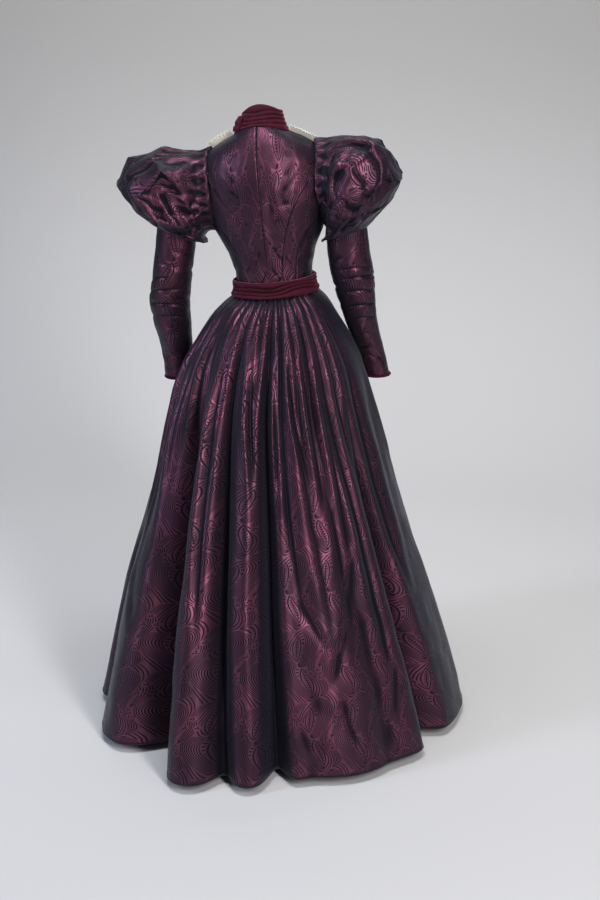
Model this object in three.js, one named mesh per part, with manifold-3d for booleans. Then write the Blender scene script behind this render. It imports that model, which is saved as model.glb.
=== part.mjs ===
// An afternoon dress of the mid 1890s, as worn: a fitted back-seamed bodice, ballooning sleeve
// puffs over close two-piece sleeves, a draped velvet collar and belt, a lace yoke, and a gored
// skirt with deep back folds. Lengths are millimetres. Heights are above the floor, x is towards
// the wearer's left, and the front faces -y. Angles round the body are degrees from the centre
// back, growing towards the wearer's left.
import * as THREE from "three";
import { mergeVertices } from "three/addons/utils/BufferGeometryUtils.js";
import Module from "manifold-3d";

const wasm = await Module();
wasm.setup();

const degree = Math.PI / 180;

// Driving sizes
const wall = 2; // cloth with its lining
const seamGap = 0.3; // between neighbouring panels
const seatGap = 0.5; // between a piece and the one that it is sewn on
const waistHeight = 1035;
const hemHeight = 22;
const skirtTop = 1046;
const bodiceBottom = 1026;
const cuffHeight = { left: 786, right: 803 };
const neckHeight = 1377;
const waistSway = 8; // the waist stands this far to the wearer's left of the hem's middle
const torsoLean = 5; // degrees that the body above the waist leans to the wearer's left
const leanFrom = 960; // height where that lean begins
const neckMiddle = new THREE.Vector3(39, 0, 1384); // the origin: the middle of the neck, on the shoulders

const colours = {
  damask: { color: 0x3a1d2b, roughness: 0.45, metalness: 0.2 },
  velvet: { color: 0x4a0f20, roughness: 0.85, metalness: 0 },
  lace: { color: 0xe9e2d0, roughness: 0.9, metalness: 0 },
  braid: { color: 0x0e0c10, roughness: 0.9, metalness: 0 },
};

// ---- Numbers and tables

const clamp = (x, low = 0, high = 1) => Math.min(high, Math.max(low, x));
const mix = (a, b, t) => a + (b - a) * t;
const ease = (t) => clamp(t) ** 2 * (3 - 2 * clamp(t));
const bell = (q) => Math.exp(-q * q);

// A smooth curve through one column of a table whose rows are in order of another column, or of
// their own place.
function along(rows, key, column, x) {
  const last = rows.length - 1;
  const at = (i) => (key ? rows[i][key] : i);
  const slope = (i) => {
    const a = Math.max(i - 1, 0);
    const b = Math.min(i + 1, last);
    return (rows[b][column] - rows[a][column]) / (at(b) - at(a));
  };
  const where = clamp(x, at(0), at(last));
  let i = 0;
  while (i < last - 1 && where > at(i + 1)) i += 1;
  const span = at(i + 1) - at(i);
  const t = (where - at(i)) / span;
  const [t2, t3] = [t * t, t * t * t];
  return (
    (2 * t3 - 3 * t2 + 1) * rows[i][column] +
    (t3 - 2 * t2 + t) * span * slope(i) +
    (3 * t2 - 2 * t3) * rows[i + 1][column] +
    (t3 - t2) * span * slope(i + 1)
  );
}

// ---- Closed walls of cloth

const steps = (count) => Array.from({ length: count + 1 }, (_, i) => i / count);

// The outward side of surface(u, v), from its slopes.
function normalOf(surface, u, v) {
  const reach = 1e-3;
  const du = surface(u + reach, v).sub(surface(u - reach, v));
  const dv = surface(u, v + reach).sub(surface(u, v - reach));
  return du.cross(dv).normalize();
}

// A solid between two skins, each a function of u and v. A ring closes on itself along u.
function solidBetween(outer, inner, us, vs, ring = false) {
  const columns = ring ? us.length - 1 : us.length;
  const rows = vs.length;
  const positions = [];
  for (const skin of [outer, inner])
    for (const v of vs)
      for (let i = 0; i < columns; i += 1) positions.push(...skin(us[i], v).toArray());
  const at = (skin, row, column) => (skin * rows + row) * columns + (column % columns);
  const faces = [];
  const quad = (a, b, c, d) => faces.push(a, b, c, a, c, d);
  const spans = ring ? columns : columns - 1;
  for (let i = 0; i < spans; i += 1) {
    for (let j = 0; j < rows - 1; j += 1) {
      quad(at(0, j, i), at(0, j, i + 1), at(0, j + 1, i + 1), at(0, j + 1, i));
      quad(at(1, j, i), at(1, j + 1, i), at(1, j + 1, i + 1), at(1, j, i + 1));
    }
    quad(at(0, 0, i), at(1, 0, i), at(1, 0, i + 1), at(0, 0, i + 1));
    quad(at(0, rows - 1, i), at(0, rows - 1, i + 1), at(1, rows - 1, i + 1), at(1, rows - 1, i));
  }
  if (!ring)
    for (let j = 0; j < rows - 1; j += 1) {
      quad(at(0, j, 0), at(0, j + 1, 0), at(1, j + 1, 0), at(1, j, 0));
      const end = columns - 1;
      quad(at(0, j, end), at(1, j, end), at(1, j + 1, end), at(0, j + 1, end));
    }
  const point = (k) => new THREE.Vector3().fromArray(positions, 3 * k);
  let volume = 0;
  for (let k = 0; k < faces.length; k += 3)
    volume += point(faces[k]).dot(point(faces[k + 1]).cross(point(faces[k + 2])));
  if (volume < 0) faces.reverse();
  return new THREE.BufferGeometry()
    .setAttribute("position", new THREE.Float32BufferAttribute(positions, 3))
    .setIndex(faces);
}

// Cloth of one thickness: the inner skin lies under the outer one, on the side that side says.
function cloth(surface, us, vs, { ring = false, side = 1, pose = (p) => p, thickness = wall } = {}) {
  const outer = (u, v) => pose(surface(u, v));
  const inner = (u, v) =>
    pose(surface(u, v).addScaledVector(normalOf(surface, u, v), -side * thickness));
  return solidBetween(outer, inner, us, vs, ring);
}

const dress = new THREE.Group();
dress.position.copy(neckMiddle).negate();

function addPiece(name, geometry, colour) {
  const piece = new THREE.Mesh(geometry, new THREE.MeshStandardMaterial(colours[colour]));
  piece.name = name;
  dress.add(piece);
}

// ---- The stance: the upper body leans sideways from the waist

function stance(p) {
  const turn = torsoLean * degree * ease((p.z - leanFrom) / (waistHeight - leanFrom));
  const rise = p.z - waistHeight;
  return new THREE.Vector3(
    p.x * Math.cos(turn) + rise * Math.sin(turn) + waistSway,
    p.y,
    waistHeight + rise * Math.cos(turn) - p.x * Math.sin(turn),
  );
}

// The radius of a level section that has its own half width, and its own depth at the back and at the front.
function sectionRadius(halfWidth, back, front, angle) {
  const [across, deep] = [Math.sin(angle * degree), Math.cos(angle * degree)];
  return 1 / Math.hypot(across / halfWidth, deep / (deep > 0 ? back : front));
}

const roundBody = (radius, angle, height) =>
  new THREE.Vector3(radius * Math.sin(angle * degree), radius * Math.cos(angle * degree), height);

// ---- Skirt: five gores whose back folds run from the belt to the hem

const skirtSections = [
  { height: 22, halfWidth: 440, back: 468, front: 372, sway: -8 },
  { height: 160, halfWidth: 408, back: 436, front: 340, sway: -5 },
  { height: 320, halfWidth: 362, back: 394, front: 302, sway: 0 },
  { height: 470, halfWidth: 316, back: 350, front: 266, sway: 2 },
  { height: 620, halfWidth: 274, back: 308, front: 234, sway: 5 },
  { height: 770, halfWidth: 234, back: 266, front: 204, sway: 8 },
  { height: 860, halfWidth: 206, back: 238, front: 182, sway: 4 },
  { height: 910, halfWidth: 180, back: 216, front: 162, sway: 1 },
  { height: 960, halfWidth: 149, back: 182, front: 138, sway: 0 },
  { height: 1000, halfWidth: 119, back: 138, front: 114, sway: 0 },
  { height: 1021, halfWidth: 96.5, back: 96, front: 96.5, sway: 0 },
  { height: 1036, halfWidth: 89.4, back: 84.8, front: 90.5, sway: 0 },
  { height: 1046, halfWidth: 88.7, back: 84.2, front: 90.3, sway: 0 },
];

// Where a thread of the cloth that meets the hem at one angle meets the waist.
const skirtThreads = [
  { hem: -180, waist: -180 },
  { hem: -110, waist: -106 },
  { hem: -62.5, waist: -50 },
  { hem: -6.8, waist: -4 },
  { hem: 8.5, waist: 17 },
  { hem: 33.5, waist: 41 },
  { hem: 72, waist: 76 },
  { hem: 110, waist: 111 },
  { hem: 180, waist: 180 },
];

// Large folds: out is how far the hem stands out, or in where negative, over a half width along the hem.
const skirtFolds = [
  { hem: -152, out: -14, halfWidth: 60, from: 620 },
  { hem: -122, out: -26, halfWidth: 52, from: 700 },
  { hem: -88, out: 8, halfWidth: 60, from: 760 },
  { hem: -62.5, out: -74, halfWidth: 36, from: 820 },
  { hem: -41, out: -12, halfWidth: 42, from: 900 },
  { hem: -17, out: -20, halfWidth: 60, from: 900 },
  { hem: -6.8, out: -72, halfWidth: 27, from: 1030 },
  { hem: 1, out: 22, halfWidth: 42, from: 900 },
  { hem: 8.5, out: -44, halfWidth: 24, from: 1020 },
  { hem: 18.5, out: 52, halfWidth: 66, from: 860 },
  { hem: 33.5, out: -128, halfWidth: 54, from: 1000 },
  { hem: 51, out: 16, halfWidth: 80, from: 800 },
  { hem: 72, out: -62, halfWidth: 44, from: 800 },
  { hem: 119, out: -28, halfWidth: 54, from: 720 },
  { hem: 150, out: -16, halfWidth: 60, from: 640 },
];

// Gathers below the belt: each is deepest a hand below it and dies out down the skirt, where to says.
const skirtGathers = [
  { hem: -70, deep: 5, to: 520 },
  { hem: -56, deep: 8, to: 360 },
  { hem: -46, deep: 7, to: 480 },
  { hem: -35, deep: 9, to: 260 },
  { hem: -26, deep: 8, to: 420 },
  { hem: -15, deep: 9, to: 200 },
  { hem: -2, deep: 8, to: 560 },
  { hem: 4, deep: 9, to: 430 },
  { hem: 15, deep: 9, to: 330 },
  { hem: 24, deep: 8, to: 450 },
  { hem: 43, deep: 9, to: 300 },
  { hem: 54, deep: 7, to: 420 },
  { hem: 64, deep: 6, to: 520 },
];
const gatherTop = 1034;
const gatherDeepest = 925;

function foldedOut(hemAngle, height, radius) {
  let out = 0;
  for (const fold of skirtFolds) {
    const grown = clamp((fold.from - height) / (fold.from - hemHeight));
    const apart = (hemAngle - fold.hem) * degree * radius;
    out += fold.out * grown ** 0.8 * bell(apart / (fold.halfWidth * mix(0.34, 1, grown)));
  }
  for (const gather of skirtGathers) {
    const rise = ease((gatherTop - height) / (gatherTop - gatherDeepest));
    const fade = 1 - ease((gatherDeepest - height) / (gatherDeepest - gather.to));
    const apart = (hemAngle - gather.hem) * degree * radius;
    out -= gather.deep * rise * fade * bell(apart / mix(7, 17, ease((gatherTop - height) / 500)));
  }
  return out;
}

function skirtPoint(hemAngle, height) {
  const down = clamp((skirtTop - height) / (skirtTop - hemHeight));
  const angle = mix(along(skirtThreads, "hem", "waist", hemAngle), hemAngle, down);
  const size = (column) => along(skirtSections, "height", column, height);
  const radius = sectionRadius(size("halfWidth"), size("back"), size("front"), angle);
  const point = roundBody(radius + foldedOut(hemAngle, height, radius), angle, height);
  point.x += size("sway");
  return point;
}

const skirtGores = [
  { name: "skirt_back_right", from: -62.5, to: -6.8, columns: 24 },
  { name: "skirt_back_left", from: -6.8, to: 72, columns: 34 },
  { name: "skirt_side_left", from: 72, to: 134, columns: 10 },
  { name: "skirt_front", from: 134, to: 226, columns: 9 },
  { name: "skirt_side_right", from: -134, to: -62.5, columns: 11 },
];
const skirtRows = [22, 130, 270, 410, 550, 680, 790, 870, 930, 975, 1003, 1021, 1036, 1046];
const roundAngle = (angle) => (angle > 180 ? angle - 360 : angle);

for (const gore of skirtGores) {
  // The seam allowance is taken at each height, so that the gap is as wide at the waist as at the hem.
  const surface = (u, height) => {
    const spare = seamGap / 2 / degree / along(skirtSections, "height", "halfWidth", height);
    const angle = mix(gore.from + spare, gore.to - spare, u);
    return skirtPoint(roundAngle(angle), height);
  };
  const geometry = cloth(surface, steps(gore.columns), skirtRows, { pose: stance, side: -1 });
  addPiece(gore.name, geometry, "damask");
}

// The brush braid is a flat cord under the hem's edge, so that it wears instead of the silk.
const braid = { width: 3.4, height: 3, columns: 88 };
{
  const edge = (u, v, inwards) => {
    const hemAngle = mix(-180, 180, u);
    const ahead = skirtPoint(roundAngle(hemAngle + 0.05), hemHeight);
    const behind = skirtPoint(hemAngle - 0.05 < -180 ? hemAngle + 359.95 : hemAngle - 0.05, hemHeight);
    const outwards = ahead.sub(behind).cross(new THREE.Vector3(0, 0, -1)).normalize();
    const point = skirtPoint(hemAngle, hemHeight).addScaledVector(outwards, 0.7 - inwards * braid.width);
    point.z = hemHeight - seamGap - braid.height * (1 - v);
    return stance(point);
  };
  const outer = (u, v) => edge(u, v, 0);
  const inner = (u, v) => edge(u, v, 1);
  addPiece("hem_braid", solidBetween(outer, inner, steps(braid.columns), [0, 1], true), "braid");
}

// ---- Bodice: eight panels cut from one body, with a hole for each arm

const bodySections = [
  { height: 1020, halfWidth: 87, back: 82, front: 86.5 },
  { height: 1046, halfWidth: 86, back: 81.5, front: 87 },
  { height: 1075, halfWidth: 87, back: 83, front: 95 },
  { height: 1115, halfWidth: 98, back: 89, front: 112 },
  { height: 1160, halfWidth: 119, back: 97, front: 130 },
  { height: 1212, halfWidth: 139, back: 104, front: 141 },
  { height: 1265, halfWidth: 145, back: 107, front: 132 },
  { height: 1310, halfWidth: 138, back: 102, front: 110 },
  { height: 1340, halfWidth: 124, back: 88, front: 87 },
  { height: 1360, halfWidth: 97, back: 73, front: 71 },
  { height: 1371, halfWidth: 74, back: 63, front: 62 },
  { height: 1377, halfWidth: 61, back: 58, front: 57 },
];
const neckRise = { back: 18, front: -22 }; // the neck's edge beside its height at the shoulders
const neckRiseFrom = 1290;
const armhole = { height: 1257, halfHeight: 90, halfDepth: 62, from: 60, to: 240, sides: 44 };

function bodyPoint(angle, height) {
  const size = (column) => along(bodySections, "height", column, height);
  const radius = sectionRadius(size("halfWidth"), size("back"), size("front"), angle);
  const deep = Math.cos(angle * degree);
  const rise = (deep > 0 ? neckRise.back : neckRise.front) * deep * deep;
  const raised = height + rise * ease((height - neckRiseFrom) / (neckHeight - neckRiseFrom));
  return roundBody(radius, angle, raised);
}

const belowWaist = 1000; // seams start here
const inArmhole = 1280; // and end here, or above the neck
const aboveNeck = 1420;

// Seams of the left half. Their upper ends run on inside the armhole, where no cloth is.
const bodiceSeams = {
  centreBack: [
    { height: belowWaist, angle: 0 },
    { height: aboveNeck, angle: 0 },
  ],
  backCurve: [
    { height: belowWaist, angle: 21 },
    { height: 1060, angle: 22 },
    { height: 1130, angle: 25 },
    { height: 1200, angle: 34 },
    { height: 1250, angle: 48 },
    { height: 1290, angle: 64 },
    { height: 1320, angle: 80 },
    { height: 1333, angle: 90 },
    { height: 1336, angle: 90 },
    { height: aboveNeck, angle: 90 },
  ],
  sideBack: [
    { height: belowWaist, angle: 44 },
    { height: 1060, angle: 44 },
    { height: 1120, angle: 47 },
    { height: 1160, angle: 54 },
    { height: 1180, angle: 62 },
    { height: 1200, angle: 78 },
    { height: 1290, angle: 88 },
  ],
  sideFront: [
    { height: belowWaist, angle: 108 },
    { height: 1080, angle: 107 },
    { height: 1200, angle: 107 },
    { height: 1300, angle: 107 },
    { height: 1320, angle: 95 },
    { height: 1333, angle: 90 },
    { height: 1336, angle: 90 },
    { height: aboveNeck, angle: 90 },
  ],
  centreFront: [
    { height: belowWaist, angle: 180 },
    { height: aboveNeck, angle: 180 },
  ],
};

function solidOf(geometry) {
  const vertProperties = new Float32Array(geometry.attributes.position.array);
  const triVerts = new Uint32Array(geometry.index.array);
  return new wasm.Manifold(new wasm.Mesh({ numProp: 3, vertProperties, triVerts }));
}

function geometryOf(solid, pose) {
  const mesh = solid.getMesh();
  const positions = [];
  for (let k = 0; k < mesh.vertProperties.length; k += 3)
    positions.push(...pose(new THREE.Vector3().fromArray(mesh.vertProperties, k)).toArray());
  return new THREE.BufferGeometry()
    .setAttribute("position", new THREE.Float32BufferAttribute(positions, 3))
    .setIndex([...mesh.triVerts]);
}

const bodyColumns = 32;
const bodyRows = [1026, 1050, 1085, 1130, 1185, 1245, 1300, 1334, 1354, 1368, 1377];
const bodyShell = solidOf(
  cloth((u, height) => bodyPoint(360 * u, height), steps(bodyColumns), bodyRows, { ring: true, side: -1 }),
);

const wedgeSizes = { inside: 20, outside: 240, step: 20, columns: 6 };

// Everything near the body between two seams, as a wedge from within it to well outside.
function wedge(backSeam, frontSeam, bottom, top, mirror) {
  const heights = steps((top - bottom) / wedgeSizes.step).map((t) => mix(bottom, top, t));
  const skin = (radius) => (u, height) => {
    const spare = seamGap / 2 / degree / along(bodySections, "height", "back", height);
    const from = along(backSeam, "height", "angle", height) + spare;
    const to = along(frontSeam, "height", "angle", height) - spare;
    return roundBody(radius, mirror * mix(from, to, u), height);
  };
  const [outside, inside] = [skin(wedgeSizes.outside), skin(wedgeSizes.inside)];
  return solidOf(solidBetween(outside, inside, steps(wedgeSizes.columns), heights));
}

function armholeCutter(mirror) {
  const { from, to, sides, halfDepth, halfHeight } = armhole;
  const rod = new THREE.CylinderGeometry(1, 1, to - from, sides).rotateZ(Math.PI / 2);
  rod.scale(1, halfDepth, halfHeight).translate((mirror * (from + to)) / 2, 0, armhole.height);
  rod.deleteAttribute("normal").deleteAttribute("uv");
  return solidOf(mergeVertices(rod));
}

for (const [hand, mirror] of [["left", 1], ["right", -1]]) {
  const { centreBack, backCurve, sideBack, sideFront, centreFront } = bodiceSeams;
  const half = bodyShell.subtract(armholeCutter(mirror));
  const panels = [
    { name: "bodice_back", from: centreBack, to: backCurve, top: aboveNeck },
    { name: "bodice_side_back", from: backCurve, to: sideBack, top: inArmhole },
    { name: "bodice_side", from: sideBack, to: sideFront, top: inArmhole },
    { name: "bodice_front", from: sideFront, to: centreFront, top: aboveNeck },
  ];
  for (const { name, from, to, top } of panels) {
    const panel = half.intersect(wedge(from, to, belowWaist, top, mirror));
    addPiece(`${name}_${hand}`, geometryOf(panel, stance), "damask");
  }
}

// ---- Velvet: the draped belt, the standing collar and its folded bow

const belt = { bottom: 1021, top: 1056, stand: 0.9, folds: 4, columns: 36 };

// A size of the skirt's top, straight from one of its rows to the next.
function skirtTopSize(column, height) {
  const [low, middle, high] = skirtSections.slice(-3);
  const [a, b] = height < middle.height ? [low, middle] : [middle, high];
  return mix(a[column], b[column], clamp((height - a.height) / (b.height - a.height)));
}

const velvetRipple = (v, folds, deep) => deep * Math.abs(Math.sin(Math.PI * folds * v)) ** 0.7;
const beltSkin = (out) => (u, v) => {
  const height = mix(belt.bottom, belt.top, v);
  const angle = 360 * u;
  const size = (column) => skirtTopSize(column, height) + belt.stand;
  const radius = sectionRadius(size("halfWidth"), size("back"), size("front"), angle);
  return roundBody(radius + out * (wall + velvetRipple(v, belt.folds, 4)), angle, height);
};
const posed = (surface) => (u, v) => stance(surface(u, v));
const beltSkins = [posed(beltSkin(1)), posed(beltSkin(0))];
addPiece("belt", solidBetween(...beltSkins, steps(belt.columns), steps(5), true), "velvet");

const collar = { stand: 0.8, rise: 46, topRadius: 42, topShift: -7, folds: 3, columns: 28, inside: 0.965 };
const collarSurface = (out) => (u, v) => {
  const angle = 360 * u;
  const foot = bodyPoint(angle, neckHeight);
  const radius = mix(Math.hypot(foot.x, foot.y), collar.topRadius, v ** 0.8);
  const ripple = out * (0.4 + velvetRipple(v, collar.folds, 3));
  const point = roundBody(radius + ripple, angle, foot.z + collar.stand + collar.rise * v);
  point.x += collar.topShift * v;
  return point;
};
const collarUnder = (u, v) => {
  const point = collarSurface(0)(u, v);
  point.x = (point.x - collar.topShift * v) * collar.inside + collar.topShift * v;
  point.y *= collar.inside;
  return point;
};
const collarSkins = [posed(collarSurface(1)), posed(collarUnder)];
addPiece("collar", solidBetween(...collarSkins, steps(collar.columns), steps(5), true), "velvet");

// The bow at the left of the back: a folded loop of velvet that stands out from the collar.
const bow = { angle: 50, halfWide: 8, out: 9, height: 31, foot: 2, stand: 1.2, swell: 0.3, pinch: 0.25 };
const bowSurface = (u, v) => {
  const turn = 360 * u * degree;
  const near = collarSurface(1)(bow.angle / 360, mix(bow.foot, bow.foot + bow.height, v) / collar.rise);
  const swell = 1 - bow.swell * (1 - Math.sin(Math.PI * v));
  const stand = bow.stand + (bow.out / 2) * (1 - Math.cos(turn)) * swell;
  const outwards = new THREE.Vector3(Math.sin(bow.angle * degree), Math.cos(bow.angle * degree), 0);
  const sideways = new THREE.Vector3(outwards.y, -outwards.x, 0);
  const wide = bow.halfWide * Math.sin(turn) * (1 - bow.pinch * Math.cos(turn));
  return near.addScaledVector(outwards, stand).addScaledVector(sideways, wide);
};
addPiece("collar_bow", cloth(bowSurface, steps(14), steps(3), { ring: true, pose: stance }), "velvet");

// ---- Lace yoke: two halves that lie on the front panels, up to the collar and over the shoulders

const lace = { thickness: 1, stand: 0.8, bottom: 1300 };
const laceEdge = [
  { height: belowWaist, angle: 124 },
  { height: 1300, angle: 124 },
  { height: 1334, angle: 112 },
  { height: 1352, angle: 80 },
  { height: aboveNeck, angle: 80 },
];
const overBody = (out) => (u, height) => {
  const surface = (a, h) => bodyPoint(360 * a, h);
  return surface(u, height).addScaledVector(normalOf(surface, u, height), -out);
};
const laceSkins = [overBody(lace.stand + lace.thickness), overBody(lace.stand)];
const laceShell = solidOf(solidBetween(...laceSkins, steps(bodyColumns), bodyRows, true));
for (const [hand, mirror] of [["left", 1], ["right", -1]]) {
  const half = wedge(laceEdge, bodiceSeams.centreFront, lace.bottom, aboveNeck, mirror);
  addPiece(`lace_yoke_${hand}`, geometryOf(laceShell.intersect(half), stance), "lace");
}

// ---- Lower sleeves: each an upper and an under piece, close to an arm that hangs a little forward

const sleeveSections = {
  left: [
    { height: 780, x: 257, y: -99, across: 29.5, deep: 33 },
    { height: 864, x: 253, y: -70, across: 36.5, deep: 40 },
    { height: 930, x: 256, y: -42, across: 43, deep: 46 },
    { height: 989, x: 257, y: -22, across: 47, deep: 49 },
    { height: 1050, x: 247, y: -6, across: 46, deep: 48 },
    { height: 1106, x: 238.5, y: 0, across: 45.5, deep: 47 },
    { height: 1190, x: 227, y: 4, across: 45, deep: 46 },
  ],
  right: [
    { height: 796, x: 220, y: -112, across: 31.5, deep: 34 },
    { height: 878, x: 201, y: -93, across: 33, deep: 38 },
    { height: 940, x: 186, y: -60, across: 37, deep: 43 },
    { height: 1000, x: 176, y: -34, across: 43, deep: 47 },
    { height: 1060, x: 168, y: -14, across: 49, deep: 49 },
    { height: 1114, x: 160, y: -2, across: 48, deep: 47 },
    { height: 1190, x: 152, y: 4, across: 46, deep: 45 },
  ],
};
const sleeveEnds = {
  left: { inner: 1130, outer: 1179, stand: 1.2 },
  right: { inner: 1145, outer: 1173, stand: 2.3 },
};
const tuckedIn = 4; // the sleeve runs this far up inside the puff

// A point of a sleeve: turn 0 is the outer side of the arm and turn 90 its back.
function sleevePoint(hand, turn, height, out = 0) {
  const size = (column) => along(sleeveSections[hand], "height", column, height);
  const mirror = hand === "left" ? 1 : -1;
  return new THREE.Vector3(
    mirror * (size("x") + (size("across") + out) * Math.cos(turn * degree)),
    size("y") + (size("deep") + out) * Math.sin(turn * degree),
    height,
  );
}

// The height where the puff closes on the sleeve.
function sleeveEnd(hand, turn) {
  const { inner, outer } = sleeveEnds[hand];
  return mix(inner, outer, (1 + Math.cos(turn * degree)) / 2);
}

const piping = { height: 6, edge: 1, swell: 2.2 }; // the velvet roll at each cuff
const sleeveSeams = [24, 206]; // the hind seam and the fore seam of each sleeve
const wristRadius = 32;
const sleeveGap = seamGap / 2 / degree / wristRadius; // half of the seam's gap, in degrees
for (const [hand, mirror] of [["left", 1], ["right", -1]]) {
  const [hind, fore] = sleeveSeams;
  const halves = [
    { name: "sleeve_upper", from: fore - 360, to: hind },
    { name: "sleeve_under", from: hind, to: fore },
  ];
  for (const { name, from, to } of halves) {
    const surface = (u, v) => {
      const turn = mix(from + sleeveGap, to - sleeveGap, u);
      return sleevePoint(hand, turn, mix(cuffHeight[hand], sleeveEnd(hand, turn) + tuckedIn, v));
    };
    addPiece(`${name}_${hand}`, cloth(surface, steps(8), steps(8), { side: mirror }), "damask");
  }
  const skin = (out) => (u, v) =>
    sleevePoint(hand, 360 * u, cuffHeight[hand] + seatGap + piping.height * v, seatGap + out(v));
  const roll = skin((v) => piping.edge + piping.swell * Math.sin(Math.PI * v));
  const geometry = solidBetween(roll, skin(() => 0), steps(20), steps(2), true);
  addPiece(`cuff_piping_${hand}`, geometry, "velvet");
}

// ---- Puffs: each runs as a fan of sections, hinged under the arm, from the armhole to the lower sleeve

const puffs = {
  left: {
    hinge: { x: 150, height: 1125 },
    sections: [
      { fan: 3, near: 36, far: 207, deep: 66, y: 0 },
      { fan: 14, near: 31, far: 222, deep: 88, y: 2 },
      { fan: 26, near: 27, far: 242, deep: 104, y: 4 },
      { fan: 40, near: 22, far: 272, deep: 110, y: 5 },
      { fan: 54, near: 17, far: 261, deep: 108, y: 5 },
      { fan: 63, near: 14, far: 230, deep: 96, y: 4 },
      { fan: 66, near: 12, far: 180, deep: 78, y: 3 },
      { fan: 67, near: 18, far: 146, deep: 58, y: 2 },
    ],
  },
  right: {
    hinge: { x: 103, height: 1141 },
    sections: [
      { fan: 2, near: 38, far: 216, deep: 66, y: 0 },
      { fan: 9, near: 29, far: 240, deep: 88, y: 2 },
      { fan: 20, near: 16, far: 253, deep: 104, y: 4 },
      { fan: 34, near: 5, far: 255, deep: 110, y: 5 },
      { fan: 46, near: -3, far: 248, deep: 108, y: 5 },
      { fan: 55, near: -4, far: 212, deep: 98, y: 4 },
      { fan: 61, near: -4, far: 162, deep: 80, y: 3 },
      { fan: 70, near: 0, far: 116, deep: 56, y: 2 },
    ],
  },
};

// Soft dents and swellings of the puffs: round and along say where, out how far, halfTurn and
// halfLong how wide.
const puffFolds = {
  left: [
    { round: 92, along: 0.5, out: -17, halfTurn: 17, halfLong: 0.2 },
    { round: 52, along: 0.62, out: -13, halfTurn: 13, halfLong: 0.16 },
    { round: 128, along: 0.66, out: -14, halfTurn: 14, halfLong: 0.15 },
    { round: 28, along: 0.36, out: -9, halfTurn: 12, halfLong: 0.18 },
    { round: 70, along: 0.28, out: 8, halfTurn: 16, halfLong: 0.14 },
    { round: 200, along: 0.5, out: -12, halfTurn: 20, halfLong: 0.2 },
    { round: 262, along: 0.55, out: -15, halfTurn: 18, halfLong: 0.22 },
    { round: 318, along: 0.45, out: -10, halfTurn: 14, halfLong: 0.18 },
  ],
  right: [
    { round: 84, along: 0.54, out: -17, halfTurn: 16, halfLong: 0.18 },
    { round: 44, along: 0.5, out: -12, halfTurn: 12, halfLong: 0.2 },
    { round: 122, along: 0.6, out: -15, halfTurn: 15, halfLong: 0.16 },
    { round: 102, along: 0.3, out: 8, halfTurn: 16, halfLong: 0.14 },
    { round: 18, along: 0.68, out: -9, halfTurn: 12, halfLong: 0.14 },
    { round: 210, along: 0.52, out: -12, halfTurn: 20, halfLong: 0.2 },
    { round: 270, along: 0.46, out: -15, halfTurn: 18, halfLong: 0.22 },
    { round: 326, along: 0.6, out: -10, halfTurn: 14, halfLong: 0.18 },
  ],
};
const puffGathers = { count: 15, deep: 5, head: 0.3, foot: 0.24 };
const puffEnds = { head: 0.13, foot: 0.1, proud: 0.9 }; // how much of the puff bends to each seam

function puffPoint(hand, turn, along01) {
  const { hinge, sections } = puffs[hand];
  const mirror = hand === "left" ? 1 : -1;
  const at = along01 * (sections.length - 1);
  const size = (column) => along(sections, null, column, at);
  const [across, deep] = [Math.cos(turn * degree), Math.sin(turn * degree)];
  let out = 0;
  for (const fold of puffFolds[hand]) {
    const apart = ((turn - fold.round + 540) % 360) - 180;
    out += fold.out * bell(apart / fold.halfTurn) * bell((along01 - fold.along) / fold.halfLong);
  }
  const gathered = bell(along01 / puffGathers.head) + bell((1 - along01) / puffGathers.foot);
  out -= puffGathers.deep * gathered * (0.5 + 0.5 * Math.cos(puffGathers.count * turn * degree));
  const long = (size("near") + size("far")) / 2 + ((size("far") - size("near")) / 2 + out) * across;
  const fan = size("fan") * degree;
  const free = new THREE.Vector3(
    mirror * (hinge.x + long * Math.sin(fan)),
    size("y") + (size("deep") + out) * deep,
    hinge.height + long * Math.cos(fan),
  );
  // The head is sewn into the armhole's edge, and the foot closes on the lower sleeve.
  const height = armhole.height + (armhole.halfHeight - seamGap) * across;
  const y = (armhole.halfDepth - seamGap) * deep;
  const depth = along(bodySections, "height", y > 0 ? "back" : "front", height);
  const x = along(bodySections, "height", "halfWidth", height) * Math.sqrt(1 - (y / depth) ** 2);
  const head = stance(new THREE.Vector3(mirror * (x + puffEnds.proud), y, height));
  const foot = sleevePoint(hand, turn, sleeveEnd(hand, turn), sleeveEnds[hand].stand);
  const headShare = 1 - ease(along01 / puffEnds.head);
  const footShare = ease((along01 - 1 + puffEnds.foot) / puffEnds.foot);
  return free.lerp(head, headShare).lerp(foot, footShare);
}

for (const [hand, mirror] of [["left", 1], ["right", -1]]) {
  const surface = (u, v) => puffPoint(hand, 360 * u, v);
  const rows = [0, 0.06, 0.15, 0.27, 0.4, 0.53, 0.66, 0.79, 0.88, 0.95, 1];
  addPiece(`puff_${hand}`, cloth(surface, steps(32), rows, { ring: true, side: mirror }), "damask");
}

export default dress;
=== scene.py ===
import math

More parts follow.
